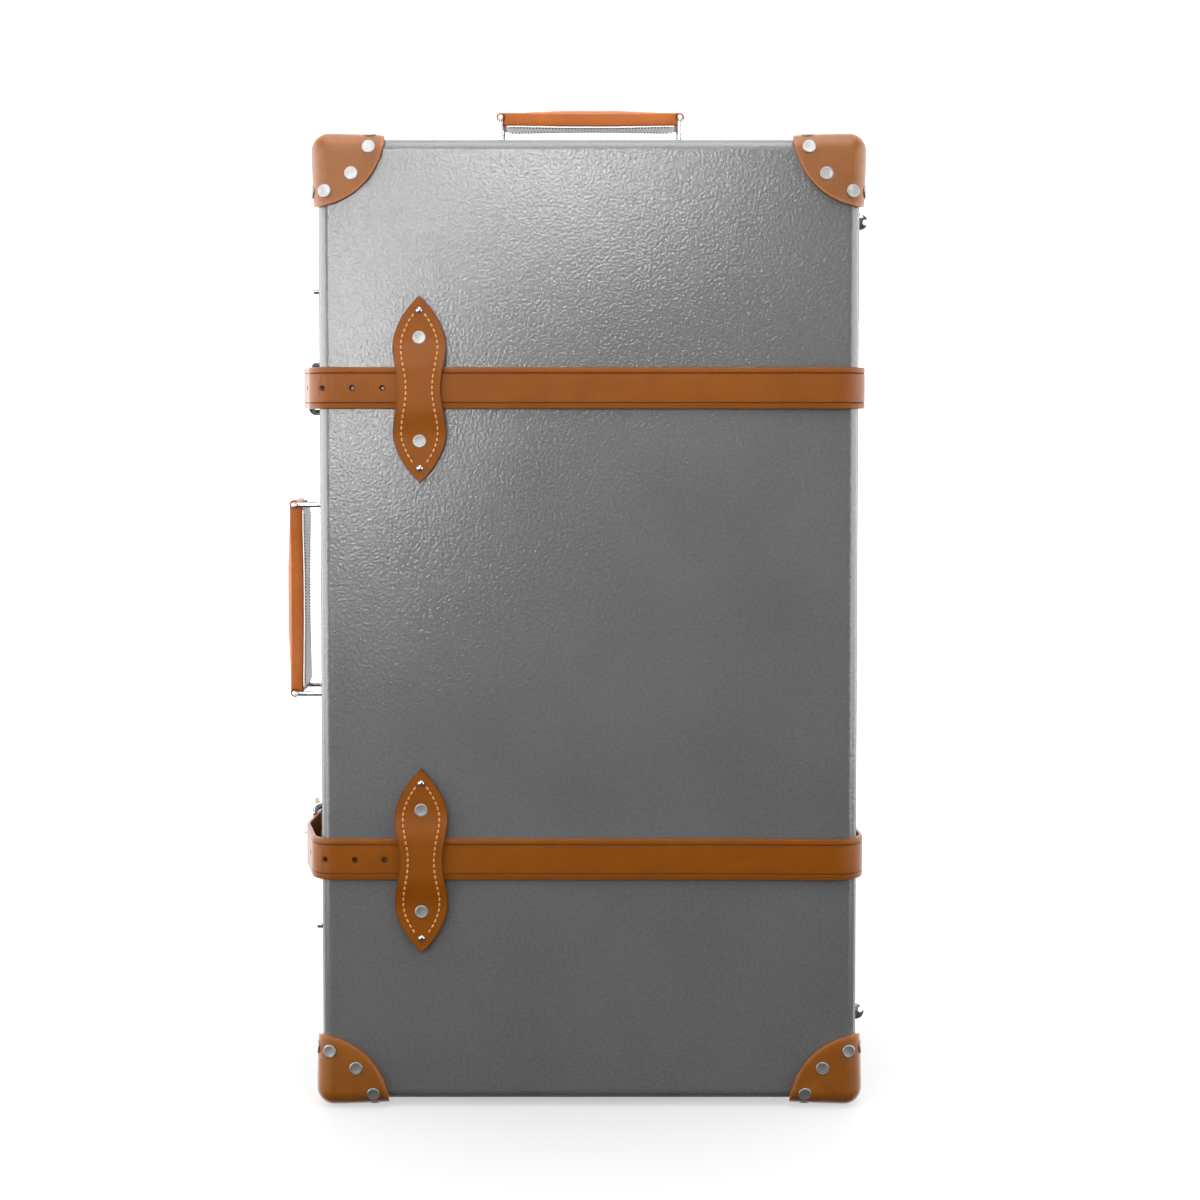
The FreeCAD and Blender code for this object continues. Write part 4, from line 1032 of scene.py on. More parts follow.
@dataclass
class Keeper:
    """A spectacle-shaped strap keeper, bent over the strap, with a row of stitches inside its outline."""

    half: Half
    level: Level
    across: float = KEEPER_ACROSS
    drop: float = 0.0012
    half_height: float = 0.0802
    lobe: float = 0.023
    lobe_height: float = 0.038
    waist: float = 0.0184
    thickness: float = 0.0034
    lift: float = 0.0039
    strap_edge: float = 0.0155
    foot_edge: float = 0.0440
    rivet: float = 0.0446
    nail: float = 0.068
    stitch_inset: float = 0.0071
    stitch_pitch: float = 0.0049
    stitch: Triple = (0.0039, 0.0018, 0.0014)
    # Size of each dark mark of painted needle-hole shade.
    prick: Triple = (0.0015, 0.0018, 0.0006)
    thread_off: float = 0.0001
    seam_steps: int = 600
    seam_overrun: float = 1.03
    seam_probe: float = 0.0002
    seam_apart: float = 0.0016
    nail_room: float = 0.0022
    tip: float = 0.0006
    case_gap: float = 0.0002
    rim_rounding: float = 0.0008
    burnished: float = 0.0016
    rows: int = 132
    columns: int = 18

    @property
    def name(self) -> str:
        """The keeper's CAD node."""
        return f"{'front' if self.half is Half.LID else 'back'}_keeper_{self.level.label}"

    @property
    def centre(self) -> Vector:
        """Middle of the keeper on the case's face."""
        height = CASE.middle + self.level.value * STRAP_SPACING / 2 - self.drop
        return Vector((self.across, self.half.value * CASE.half_depth, height))

    def width(self, along: float) -> float:
        """Half width of the keeper at a height along it.

        Args:
            along: Height from its middle.

        Returns:
            The half width there.
        """
        along = abs(along)
        if along < self.lobe_height:
            middle = (self.lobe + self.waist) / 2
            return middle - (self.lobe - self.waist) / 2 * math.cos(math.pi * along / self.lobe_height)
        share = min(1.0, (along - self.lobe_height) / (self.half_height - self.lobe_height))
        return max(self.tip, self.lobe * (1 - share ** 1.75) ** 0.90)

    def rise(self, along: float) -> float:
        """Height of the keeper's outer face off the case."""
        over = 1 - ease(self.strap_edge, self.foot_edge, abs(along - self.drop))
        return self.thickness + self.case_gap + self.lift * over

    def point(self, across: float, along: float, off: float = 0.0) -> Vector:
        """Place on the outer face or off it, from the middle line and the middle height."""
        out = self.half.value * (self.rise(along) + off)
        return self.centre + Vector((across, out, along))

    def build(self) -> None:
        """Shape the leather and sew it."""
        rows, columns = self.rows, self.columns

        def place(row: int, column: int) -> Vector:
            """A point of the leather, closer together towards its tips."""
            turn = math.pi * row / rows
            along = self.half_height * (0.35 * -math.cos(turn) + 0.65 * (2 * row / rows - 1))
            share = math.sin(math.pi / 2 * (2 * column / columns - 1))
            return self.point(share * self.width(along), along)

        piece = spread_grid(rows, columns, place)
        weld(piece)
        if piece.data.polygons[len(piece.data.polygons) // 2].normal.y * self.half.value < 0:
            turn_over(piece)
        thicken(piece, self.thickness)
        soften(piece, self.rim_rounding, 3, 55)
        polish(piece, self.burnish)
        body = self.half.body
        present(piece, self.name + "_leather", body, Slot.LEATHER, STRAP_LEATHER, [self.name])
        self.sew()

    def burnish(self, point: Vector) -> float:
        """How near a point lies to the outline, from 0 to 1.

        Args:
            point: A point of the leather.

        Returns:
            The share of burnish.
        """
        local = point - self.centre
        room = self.width(local.z) - abs(local.x)
        return 0.8 * (1 - ease(0.0, self.burnished, room))

    def seam(self) -> list[Vector]:
        """Middle of each stitch down one side: across, and along in the second place.

        Returns:
            Points at the stitch pitch, from the upper nail to the lower.
        """
        steps, probe = self.seam_steps, self.seam_probe
        line = []
        for step in range(steps + 1):
            along = self.nail * (1 - 2 * step / steps) * self.seam_overrun
            slope = (self.width(along + probe) - self.width(along - probe)) / (2 * probe)
            normal = Vector((1, -slope)).normalized()
            spot = Vector((self.width(along), along)) - normal * self.stitch_inset
            if spot.x > self.seam_apart and abs(spot.y) < self.nail - self.nail_room:
                line.append(spot)
        marks = [line[0]]
        travelled = 0.0
        for before, here in zip(line, line[1:]):
            travelled += (here - before).length
            if travelled >= self.stitch_pitch:
                marks.append(here)
                travelled = 0.0
        return marks

    def sew(self) -> None:
        """Lay the stitches, and between them dark marks that are painted shade of the needle holes."""
        stitches: list[Matrix] = []
        holes: list[Matrix] = []
        marks = self.seam()
        outward = Vector((0, self.half.value, 0))
        for side in (1, -1):
            for before, here in zip(marks, marks[1:]):
                first = self.point(side * before.x, before.y, self.thread_off)
                second = self.point(side * here.x, here.y, self.thread_off)
                heading = (second - first).normalized()
                stitches.append(lay((first + second) / 2, heading, outward))
                holes.append(lay(first, heading, outward))
        thread = repeat(stitch_master(*self.stitch), stitches)
        body = self.half.body
        present(thread, self.name + "_stitches", body, Slot.LEATHER, TAN_THREAD)
        # Dark marks between the stitches: painted shade of the needle holes.
        painted_hole_shade = repeat(stitch_master(*self.prick), holes)
        present(painted_hole_shade, self.name + "_needle_holes", body, Slot.LEATHER, NEEDLE_HOLE_SHADE)

    def fastener_seats(self, offset: float) -> list[Matrix]:
        """Seats of a pair of fasteners at an offset above and below the middle."""
        outward = Vector((0, self.half.value, 0))
        return [seat(self.point(0, sign * offset), outward) for sign in (1, -1)]


# Straps and buckles

def rounded_path(
    corners: Sequence[Vector], radii: Sequence[float], step: float,
) -> list[Pair]:
    """Walk along a polyline with rounded corners, in plan.

    Args:
        corners: Its corners, with both ends.
        radii: Radius at each corner between the ends.
        step: Longest step on a straight run.

    Returns:
        Each station's place and direction.
    """
    stations: list[Pair] = []

    def run(start: Vector, end: Vector) -> None:
        """Add the stations of a straight run, without its end."""
        length = (end - start).length
        if length < MERGE:
            return
        count = max(1, math.ceil(length / step))
        heading = (end - start).normalized()
        for index in range(count):
            stations.append((start.lerp(end, index / count), heading))

    here = corners[0]
    for before, corner, after, radius in zip(corners, corners[1:], corners[2:], radii):
        arrive = (corner - before).normalized()
        leave = (after - corner).normalized()
        turn = arrive.angle_signed(leave)
        reach = radius * math.tan(abs(turn) / 2)
        begin = corner - arrive * reach
        run(here, begin)
        sense = -1 if turn > 0 else 1
        normal = Vector((-arrive.y, arrive.x)) * sense
        centre = begin + normal * radius
        count = max(2, math.ceil(abs(turn) / BEND_STEP))
        for index in range(count):
            angle = sense * abs(turn) * index / count
            turned = Matrix.Rotation(angle, 2)
            stations.append((centre + turned @ (begin - centre), turned @ arrive))
        here = corner + leave * reach
    run(here, corners[-1])
    stations.append((corners[-1], (corners[-1] - corners[-2]).normalized()))
    return stations


@dataclass
class Strap:
    """One strap with its creased edges: round the case, its end past the buckle, and the buckle."""

    level: Level
    width: float = 0.036
    thickness: float = 0.0036
    gap: float = 0.0001
    crease: float = 0.0052
    crease_line: tuple[float, float] = (0.0002, 0.0011)
    fine_step: float = 0.002
    coarse_step: float = 0.004
    hole: float = 0.0026
    hole_rim: float = 0.0004
    counterbore: float = 0.0051
    through: float = 0.45
    first_hole: float = -0.2299
    hole_pitch: float = 0.026
    last_hole: float = 0.028
    heel_back: float = 0.034
    heel_out: float = 0.008
    front_out: float = 0.0223
    wire: float = 0.0028
    wire_gap: float = 0.0002
    buckle_width: float = 0.0436
    buckle_bend: float = 0.007
    inner_layer: tuple[float, float] = (0.028, 0.004)
    outer_layer: tuple[float, float] = (0.006, 0.050)
    heel_slot: Triple = (0.021, 0.017, 0.0064)
    heel_slot_out: float = 0.0095
    heel_slot_ahead: float = 0.0015
    cut_out: float = 0.0172
    tail_end: float = 0.086
    tail_point: float = 0.024
    tail_slot: Triple = (0.016, 0.020, 0.0052)
    tail_slot_back: float = 0.0195
    tail_slot_radius: float = 0.0024
    fold_half: float = 0.009
    spring: float = 0.0045
    front_spring: float = 0.0028
    holes: list[Pair] = field(default_factory=list)

    @property
    def height(self) -> float:
        """Height of the strap's middle."""
        return CASE.middle + self.level.value * STRAP_SPACING / 2

    def left(self, out: float, depth: float) -> Vector:
        """Plan point that stands out from the left side."""
        return Vector((-CASE.half_width - out, depth))

    def section(self) -> list[tuple[float, float]]:
        """Outline of the strap: distance off its middle line outward, and height.

        Returns:
            The closed outline, first over the grain side and then under it.
        """
        half, out, crease = self.width / 2, self.thickness / 2, self.crease
        over = [
            (out - 0.0011, half), (out - 0.0003, half - 0.0004), (out, half - 0.0013),
            (out, half - crease + 0.0007), (out - 0.0007, half - crease), (out, half - crease - 0.0006),
            (out + 0.00005, half - crease - 0.0020),
        ]
        mirrored = [(off, -height) for off, height in reversed(over)]
        under = [(-out + 0.0006, -half), (-out, -half + 0.0008), (-out, half - 0.0008), (-out + 0.0006, half)]
        return over + [(out + 0.00005, 0.0)] + mirrored + under

    def sweep(
        self, stations: Sequence[Pair],
        narrow: Optional[Callable[[int], float]] = None,
    ) -> Piece:
        """Carry the strap's outline along its stations.

        Args:
            stations: Places and directions in plan.
            narrow: Share of the full width at a station.

        Returns:
            The closed strap.
        """
        outline = self.section()
        count = len(outline)

        def place(row: int, column: int) -> Vector:
            """A point of the outline at a station."""
            point, heading = stations[row]
            off, height = outline[column % count]
            share = narrow(row) if narrow else 1.0
            spot = point + Vector((-heading.y, heading.x)) * off
            return Vector((spot.x, spot.y, self.height + height * share))

        piece = spread_grid(len(stations) - 1, count, place)
        weld(piece, fill=True)
        return piece

    def burnish(self, point: Vector) -> float:
        """How near a point lies to the strap's creases or inside a hole, from 0 to 1.

        Args:
            point: A point of the leather.

        Returns:
            The share of the dark edge colour: darker along the creases, painted shade inside the holes.
        """
        # Inside a hole the full dark edge colour is painted shade.
        for hole, outward in self.holes:
            off = point - hole
            if off.length < self.hole * 1.3 and off.dot(outward) < -self.hole_rim:
                return 1.0
        room = self.width / 2 - abs(point.z - self.height)
        return 0.8 * (1 - ease(*self.crease_line, abs(room - self.crease)))

    def build(self) -> None:
        """Make the strap's three lengths and the buckle's frame."""
        self.round_case()
        self.holed_end()
        self.tail()
        self.buckle()

    def round_case(self) -> None:
        """From the fold round the buckle's heel, over the back and the hinge side to the front keeper."""
        out = self.gap + self.thickness / 2
        bend = CASE.edge_radius + out
        right = CASE.half_width + out
        back = CASE.half_depth + out
        heel = CASE.parting + self.heel_back
        fold = self.wire + self.wire_gap + self.thickness / 2
        corners = [
            self.left(out, heel + self.inner_layer[0]),
            self.left(self.heel_out - fold, heel + self.inner_layer[1]),
            self.left(self.heel_out - fold, heel - fold), self.left(self.heel_out + fold, heel - fold),
            self.left(self.heel_out + fold, heel + self.outer_layer[0]),
            self.left(out, heel + self.outer_layer[1]),
            self.left(out, back), Vector((right, back)), Vector((right, CASE.parting - 0.030)),
            Vector((right + self.spring, -back - self.front_spring)), Vector((right - 0.11, -back)),
            Vector((KEEPER_ACROSS, -back)),
        ]
        radii = [0.010, fold, fold, 0.015, 0.030, bend, bend, 0.25, 0.024, 0.4]
        piece = self.sweep(rounded_path(corners, radii, self.fine_step))
        middle = (-CASE.half_width - self.heel_slot_out, heel - self.heel_slot_ahead, self.height)
        carve(piece, block(middle, self.heel_slot))
        polish(piece, self.burnish)
        name = f"strap_{self.level.label}"
        dress(piece, name, Slot.LEATHER, STRAP_LEATHER)
        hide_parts(name + "_base")
        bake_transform(piece)
        LOG.info("%s: %d faces bending between base and lid", name, len(piece.data.polygons))

    def holed_end(self) -> None:
        """From the front keeper round the left edge to the buckle, with its row of holes."""
        out = self.gap + self.thickness / 2
        front = -CASE.half_depth - out
        corners = [
            Vector((KEEPER_ACROSS, front)), self.left(0.004, front),
            self.left(0.0205, CASE.parting - 0.042), self.left(self.cut_out, CASE.parting - CASE.half_gap),
        ]
        piece = self.sweep(rounded_path(corners, [0.021, 0.045], self.coarse_step))
        for index in range(3):
            self.punch(piece, Vector((self.first_hole + index * self.hole_pitch, front)), Vector((0, -1)))
        slope = (corners[2] - corners[1]).normalized()
        self.punch(piece, corners[1] + slope * self.last_hole, Vector((-slope.y, slope.x)))
        polish(piece, self.burnish)
        name = f"strap_{self.level.label}"
        present(piece, name + "_end", "lid", Slot.LEATHER, STRAP_LEATHER, [name + "_lid"])

    def punch(self, piece: Piece, place: Vector, outward: Vector) -> None:
        """Punch a round hole through the strap.

        Args:
            piece: The strap.
            place: Plan point of the hole.
            outward: Plan direction through the leather.
        """
        point = Vector((place.x, place.y, self.height))
        outward = Vector((outward.x, outward.y, 0))
        for radius, shift in ((self.hole, self.counterbore), (self.hole * self.through, 0.0)):
            clear_selection()
            bpy.ops.mesh.primitive_cylinder_add(vertices=28, radius=radius, depth=0.012)
            cutter = bpy.context.object
            cutter.data.transform(seat(point + outward * shift, outward))
            carve(piece, cutter)
        self.holes.append((point, outward))

    def tail(self) -> None:
        """The strap's end past the buckle, lifting off the case to a rounded point."""
        end = CASE.parting + self.tail_end
        corners = [
            self.left(self.cut_out, CASE.parting + CASE.half_gap), self.left(0.0186, CASE.parting + 0.026),
            self.left(0.029, CASE.parting + 0.062), self.left(0.0315, end),
        ]
        stations = rounded_path(corners, [0.060, 0.050], self.fine_step)

        def narrow(row: int) -> float:
            """Share of the full width near the point."""
            rest = (stations[-1][0] - stations[row][0]).length
            share = max(0.0, 1 - rest / self.tail_point)
            return max(0.03, math.sqrt(max(0.0, 1 - share ** 2.2)))

        piece = self.sweep(stations, narrow)
        middle = (-CASE.half_width - 0.018, CASE.parting + self.tail_slot_back, self.height)
        cutter = block(middle, self.tail_slot)
        choose(cutter, Shape.EDGE, lambda edge: abs(edge.verts[0].co.x - edge.verts[1].co.x) > 0.01)
        bpy.ops.mesh.bevel(offset=self.tail_slot_radius, segments=5, affect="EDGES")
        leave_edit()
        carve(piece, cutter)
        polish(piece, self.burnish)
        name = f"strap_{self.level.label}_tail"
        present(piece, name + "_leather", "base", Slot.LEATHER, STRAP_LEATHER, [name])

    def buckle(self) -> None:
        """The buckle's wire frame, from the heel bar in the fold to the front bar over the strap."""
        heel = self.left(self.heel_out, CASE.parting + self.heel_back)
        front = self.left(self.front_out, CASE.parting)
        origin = Vector((heel.x, heel.y, self.height))
        along = Vector((front.x - heel.x, front.y - heel.y, 0))
        sizes = (along.length, self.buckle_width, self.buckle_bend, self.wire)
        loop = WireLoop(origin, along.normalized(), Vector((0, 0, 1)), *sizes)
        name = f"buckle_frame_{self.level.label}"
        present(loop.build(), name + "_wire", "base", Slot.CHROME, CHROME, [name])


@dataclass
class WireLoop:
    """A closed rectangular loop of round wire with rounded corners."""

    origin: Vector
    along: Vector
    across: Vector
    length: float
    width: float
    bend: float
    wire: float
    sides: int = 18

    def stations(self) -> list[Pair]:
        """Places and outward directions round the loop, in its own plane.

        Returns:
            One pair for each station, without the repeated first one.
        """
        half = self.width / 2
        inner = [
            (self.length - self.bend, half - self.bend, 0), (self.bend, half - self.bend, 90),
            (self.bend, -half + self.bend, 180), (self.length - self.bend, -half + self.bend, 270),
        ]
        found = []
        for x, y, start in inner:
            for step in range(9):
                angle = math.radians(start + 90 * step / 8)
                outward = Vector((math.cos(angle), math.sin(angle)))
                found.append((Vector((x, y)) + outward * self.bend, outward))
        return found

    def build(self) -> Piece:
        """Carry a round section along the loop.

        Returns:
            The wire.
        """
        stations = self.stations()
        upright = self.along.cross(self.across)

        def place(row: int, column: int) -> Vector:
            """A point of the round section at a station."""
            point, outward = stations[row % len(stations)]
            angle = 2 * math.pi * column / self.sides
            middle = self.origin + self.along * point.x + self.across * point.y
            aside = self.along * outward.x + self.across * outward.y
            return middle + (aside * math.cos(angle) + upright * math.sin(angle)) * self.wire

        piece = spread_grid(len(stations), self.sides, place)
        weld(piece)
        smooth(piece)
        return piece


# Handles

class Handle(Enum):
    """The two carrying handles."""

    SIDE = "side"
    TOP = "top"


@dataclass
class CarryingHandle:
    """A leather grip between two wire rings, with a pale sewn lining beneath it."""

    handle: Handle
    depth: float = 0.042
    axis_out: float = 0.0055
    side_raise: float = 0.0075
    ring_width: float = 0.058
    bend: float = 0.006
    wire: float = 0.0023
    end_width: float = 0.043
    middle_width: float = 0.031
    under: float = 0.0080
    shoulder: float = 0.0036
    end_crown: float = 0.0066
    middle_crown: float = 0.0092
    loop_radius: float = 0.0044
    lining: float = 0.0010
    loop_gap: float = 0.00015
    loop_edge: float = 0.0005
    grip_short: float = 0.0005
    grip_rounding: float = 0.0007
    under_rounding: float = 0.0012
    burnished: tuple[float, float] = (0.0006, 0.0022)
    lining_sunk: float = 0.0003
    lining_rounding: float = 0.0004
    lining_inset: float = 0.0006
    lining_short: float = 0.0052
    stitch_pitch: float = 0.0030
    stitch: Triple = (0.0022, 0.0016, 0.0022)
    stitch_inset: float = 0.0019
    seam_short: float = 0.004
    thread_off: float = 0.0001
    seam_probe: float = 0.001

    @property
    def half_length(self) -> float:
        """Half the distance between the rings."""
        return 0.089 if self.handle is Handle.SIDE else 0.0835

    @property
    def ring_length(self) -> float:
        """Distance between a ring's two bars."""
        return 0.040 if self.handle is Handle.SIDE else 0.0345

    @property
    def outward(self) -> Vector:
        """Direction away from the case."""
        return Vector((-1, 0, 0)) if self.handle is Handle.SIDE else Vector((0, 0, 1))

    @property
    def ends(self) -> tuple[str, str]:
        """Names of the rings at the far and near end along the grip."""
        return ("upper", "lower") if self.handle is Handle.SIDE else ("right", "left")

    def spot(self, out: float, across: float, along: float) -> Vector:
        """Place in the handle's own directions.

        Args:
            out: Distance off the case.
            across: Distance from the handle's middle, in the case's depth.
            along: Distance along the grip from its middle.

        Returns:
            The place.
        """
        if self.handle is Handle.SIDE:
            return Vector((-CASE.half_width - out, self.depth + across, CASE.middle + self.side_raise + along))
        return Vector((along, self.depth + across, CASE.top + out))

    @property
    def bar(self) -> float:
        """Distance of the grip's bars off the case."""
        return self.axis_out + self.ring_length

    def build(self) -> None:
        """Make the rings, the grip, its lining and its stitches."""
        for sign, end in zip((1, -1), self.ends):
            origin = self.spot(self.axis_out, 0, sign * self.half_length)
            sizes = (self.ring_length, self.ring_width, self.bend, self.wire)
            ring = WireLoop(origin, self.outward, Vector((0, 1, 0)), *sizes).build()
            handle = self.handle.value
            name = f"{handle}_handle_ring_{end}"
            present(ring, name + "_wire", f"{handle}_ring_{end}", Slot.CHROME, CHROME, [name])
        self.grip()
        self.line_and_sew()

    def half_width(self, along: float) -> float:
        """Half width of the grip at a distance along it."""
        share = ease(0.15, 0.95, abs(along) / self.half_length)
        return (self.middle_width + (self.end_width - self.middle_width) * share) / 2

    def crown(self, along: float) -> float:
        """Height of the grip's crown over its bars."""
        share = ease(0.25, 1.0, abs(along) / self.half_length)
        return self.middle_crown + (self.end_crown - self.middle_crown) * share

    def outline(self, along: float) -> list[tuple[float, float]]:
        """Section of the grip: height over its bars, and distance across.

        Args:
            along: Distance along the grip.

        Returns:
            The closed outline.
        """
        half, crown, under = self.half_width(along), self.crown(along), -self.under
        shoulder = self.shoulder
        steps = 10
        arch = []
        for step in range(steps + 1):
            share = 1 - 2 * step / steps
            arch.append((shoulder + (crown - shoulder) * (1 - share * share), share * half))
        edge = self.under_rounding
        low = [(under + edge, -half), (under, -half + edge), (under, half - edge), (under + edge, half)]
        return arch + [((shoulder + under) / 2, -half)] + low + [((shoulder + under) / 2, half)]

    def grip(self) -> None:
        """Shape the grip and the loops round the rings' bars."""
        rows = 48
        length = self.half_length - self.grip_short
        columns = len(self.outline(0))

        def place(row: int, column: int) -> Vector:
            """A point of the grip's outline."""
            along = length * (2 * row / rows - 1)
            height, across = self.outline(along)[column % columns]
            return self.spot(self.bar + height, across, along)

        body = spread_grid(rows, columns, place)
        weld(body, fill=True)
        soften(body, self.grip_rounding, 3, 60)
        loops = [self.end_loop(sign) for sign in (1, -1)]
        piece = join([body, *loops])
        polish(piece, self.burnish)
        name = f"{self.handle.value}_handle_grip"
        present(piece, name + "_leather", f"{self.handle.value}_grip", Slot.HANDLE, HANDLE_LEATHER, [name])

    def end_loop(self, sign: int) -> Piece:
        """Leather turned round the bar of one ring.

        Args:
            sign: Which end of the grip.

        Returns:
            The loop.
        """
        inner, outer, half = self.wire + self.loop_gap, self.loop_radius, self.end_width / 2
        edge = self.loop_edge
        ring = [
            (inner, -half + edge), (inner + edge, -half), (outer - edge, -half), (outer, -half + edge),
            (outer, half - edge), (outer - edge, half), (inner + edge, half), (inner, half - edge),
        ]
        turns = 28

        def place(row: int, column: int) -> Vector:
            """A point of the loop's section, turned about the bar."""
            radius, across = ring[column % len(ring)]
            angle = 2 * math.pi * row / turns
            out = self.bar + radius * math.sin(angle)
            return self.spot(out, across, sign * self.half_length + radius * math.cos(angle))

        piece = spread_grid(turns, len(ring), place)
        weld(piece)
        return piece

    def burnish(self, point: Vector) -> float:
        """How near a point lies to the grip's lower edge, from 0 to 1."""
        out = (point - self.spot(self.bar, 0, 0)).dot(self.outward)
        return 0.8 * (1 - ease(*self.burnished, out + self.under))

    def line_and_sew(self) -> None:
        """Sew a pale lining under the grip."""
        rows, columns = 40, 6
        length = self.half_length - self.lining_short

        def place(row: int, column: int) -> Vector:
            """A point of the lining."""
            along = length * (2 * row / rows - 1)
            across = (self.half_width(along) - self.lining_inset) * (2 * column / columns - 1)
            return self.spot(self.bar - self.under - self.lining, across, along)

        piece = spread_grid(rows, columns, place)
        if Vector(piece.data.polygons[0].normal).dot(self.outward) > 0:
            turn_over(piece)
        modify(piece, "SOLIDIFY", thickness=self.lining + self.lining_sunk, offset=-1)
        soften(piece, self.lining_rounding, 2, 60)
        smooth(piece)
        handle = self.handle.value
        present(piece, f"{handle}_handle_lining", f"{handle}_grip", Slot.HANDLE, PALE_LEATHER)
        stitches = []
        count = int(2 * (length - self.seam_short) / self.stitch_pitch)
        out = self.bar - self.under - self.lining - self.thread_off
        for sign in (1, -1):
            for index in range(count + 1):
                along = -length + self.seam_short + index * self.stitch_pitch
                point, ahead = (
                    self.spot(out, sign * (self.half_width(reach) - self.stitch_inset), reach)
                    for reach in (along, along + self.seam_probe)
                )
                stitches.append(lay(point, (ahead - point).normalized(), self.outward))
        thread = repeat(stitch_master(*self.stitch), stitches)
        present(thread, f"{handle}_handle_stitches", f"{handle}_grip", Slot.HANDLE, DARK_THREAD)


# Feet and small metal fittings

FITTING_SOFTNESS = 0.0004
PRONG_SOFTNESS = 0.0003


@dataclass
class Foot:
    """Domed feet on the hinge side of one half."""

    half: Half
    radius: float = 0.0095
    height: float = 0.0125
    from_end: float = 0.068
    from_face: float = 0.038
    dome_share: float = 0.86
    collar: float = 0.0034

    def build(self) -> None:
        """Turn a foot and set both of the half's feet."""
        radius, height, collar = self.radius, self.height, self.collar
        inner = radius * self.dome_share
        profile = [(0.0, height)]
        steps = 9
        for step in range(1, steps + 1):
            angle = math.radians(80) * step / steps
            profile.append((inner * math.sin(angle), collar + (height - collar) * math.cos(angle)))
        profile += [
            (inner, 0.0036), (radius * 0.88, 0.0026), (radius * 0.97, 0.0022), (radius, 0.0015), (radius, 0),
        ]
        depth = self.half.value * (CASE.half_depth - self.from_face)
        heights = [CASE.floor_gap + self.from_end, CASE.top - self.from_end]
        outward = Vector((1, 0, 0))
        feet = repeat(lathe(profile, 36), [seat(Vector((CASE.half_width, depth, z)), outward) for z in heights])
        body = self.half.body
        present(feet, f"{body}_domed_feet", body, Slot.CHROME, CHROME, [f"{body}_feet"])


def islands(node: str) -> list[Pair]:
    """Boxes of the separate solids of a CAD node.

    Args:
        node: Name of the node.

    Returns:
        Lowest and highest corner of each solid.
    """
    mesh = bmesh.new()
    mesh.from_mesh(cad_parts[node].data)
    bmesh.ops.remove_doubles(mesh, verts=mesh.verts, dist=MERGE)
    left = set(mesh.verts)
    found = []
    while left:
        ring = [left.pop()]
        members = []
        while ring:
            vertex = ring.pop()
            members.append(vertex.co.copy())
            for edge in vertex.link_edges:
                other = edge.other_vert(vertex)
                if other in left:
                    left.remove(other)
                    ring.append(other)
        low = Vector([min(point[axis] for point in members) for axis in range(3)])
        high = Vector([max(point[axis] for point in members) for axis in range(3)])
        found.append((low, high))
    mesh.free()
    return sorted(found, key=lambda box: tuple(box[0]))


@dataclass
class PlateRivets:
    """Small domed rivets of the hinges, locks and handle plates of one half."""

    half: Half
    radius: float = 0.0026
    height: float = 0.0011
    foot: float = 0.0002

    def build(self) -> None:
        """Set a domed head on each of the CAD node's rivets."""
        body = self.half.body
        node = f"{body}_plate_rivets"
        places = []
        for low, high in islands(node):
            size = high - low
            axis = min(range(3), key=lambda index: size[index])
            middle = (low + high) / 2 - Vector((CASE.middle_x, 0, 0))
            outward = Vector((0, 0, 0))
            outward[axis] = 1 if axis == 2 or middle.x > 0 else -1
            middle[axis] -= outward[axis] * size[axis] / 2
            places.append(seat(middle, outward))
        rivets = repeat(dome(self.radius, self.height, self.foot, 6, 16), places)
        present(rivets, f"{body}_plate_rivet_heads", body, Slot.NICKEL, NICKEL, [node])


@dataclass
class Fitting:
    """A metal fitting made from a copy of its CAD node, with softened edges."""

    node: str
    body: str
    softness: float

    def build(self) -> None:
        """Copy the node's mesh, weld it, soften its edges and polish it."""
        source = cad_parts[self.node]
        piece = bpy.data.objects.new(self.node + "_fitting", source.data.copy())
        bpy.context.scene.collection.objects.link(piece)
        piece.data.transform(Matrix.Translation((-CASE.middle_x, 0, 0)))
        piece.data.materials.clear()
        weld(piece)
        edit_all(piece)
        bpy.ops.mesh.dissolve_limited(angle_limit=FLAT_ANGLE)
        leave_edit()
        soften(piece, self.softness, 2, 42)
        smooth(piece)
        present(piece, self.node + "_fitting", self.body, Slot.CHROME, CHROME, [self.node])


def fittings() -> list[Fitting]:
    """The small metal fittings with the bodies that carry them.

    Returns:
        All the fittings.
    """
    carriers = {"hinge_lid_leaves": "lid", "hinge_base_leaves": "base", "hinge_pins": "base"}
    for word in (level.label for level in Level):
        carriers[f"lock_case_{word}"] = "base"
        carriers[f"lock_hasp_plate_{word}"] = "lid"
        carriers[f"lock_hasp_{word}"] = f"hasp_{word}"
        carriers[f"lock_slide_{word}"] = f"slide_{word}"
        carriers[f"buckle_prong_{word}"] = f"prong_{word}"
        carriers[f"side_handle_plate_{word}"] = "base"
    for side in ("left", "right"):
        carriers[f"top_handle_plate_{side}"] = "base"
    thin = {node: PRONG_SOFTNESS for node in carriers if "prong" in node}
    return [Fitting(node, body, thin.get(node, FITTING_SOFTNESS)) for node, body in carriers.items()]


# Studio

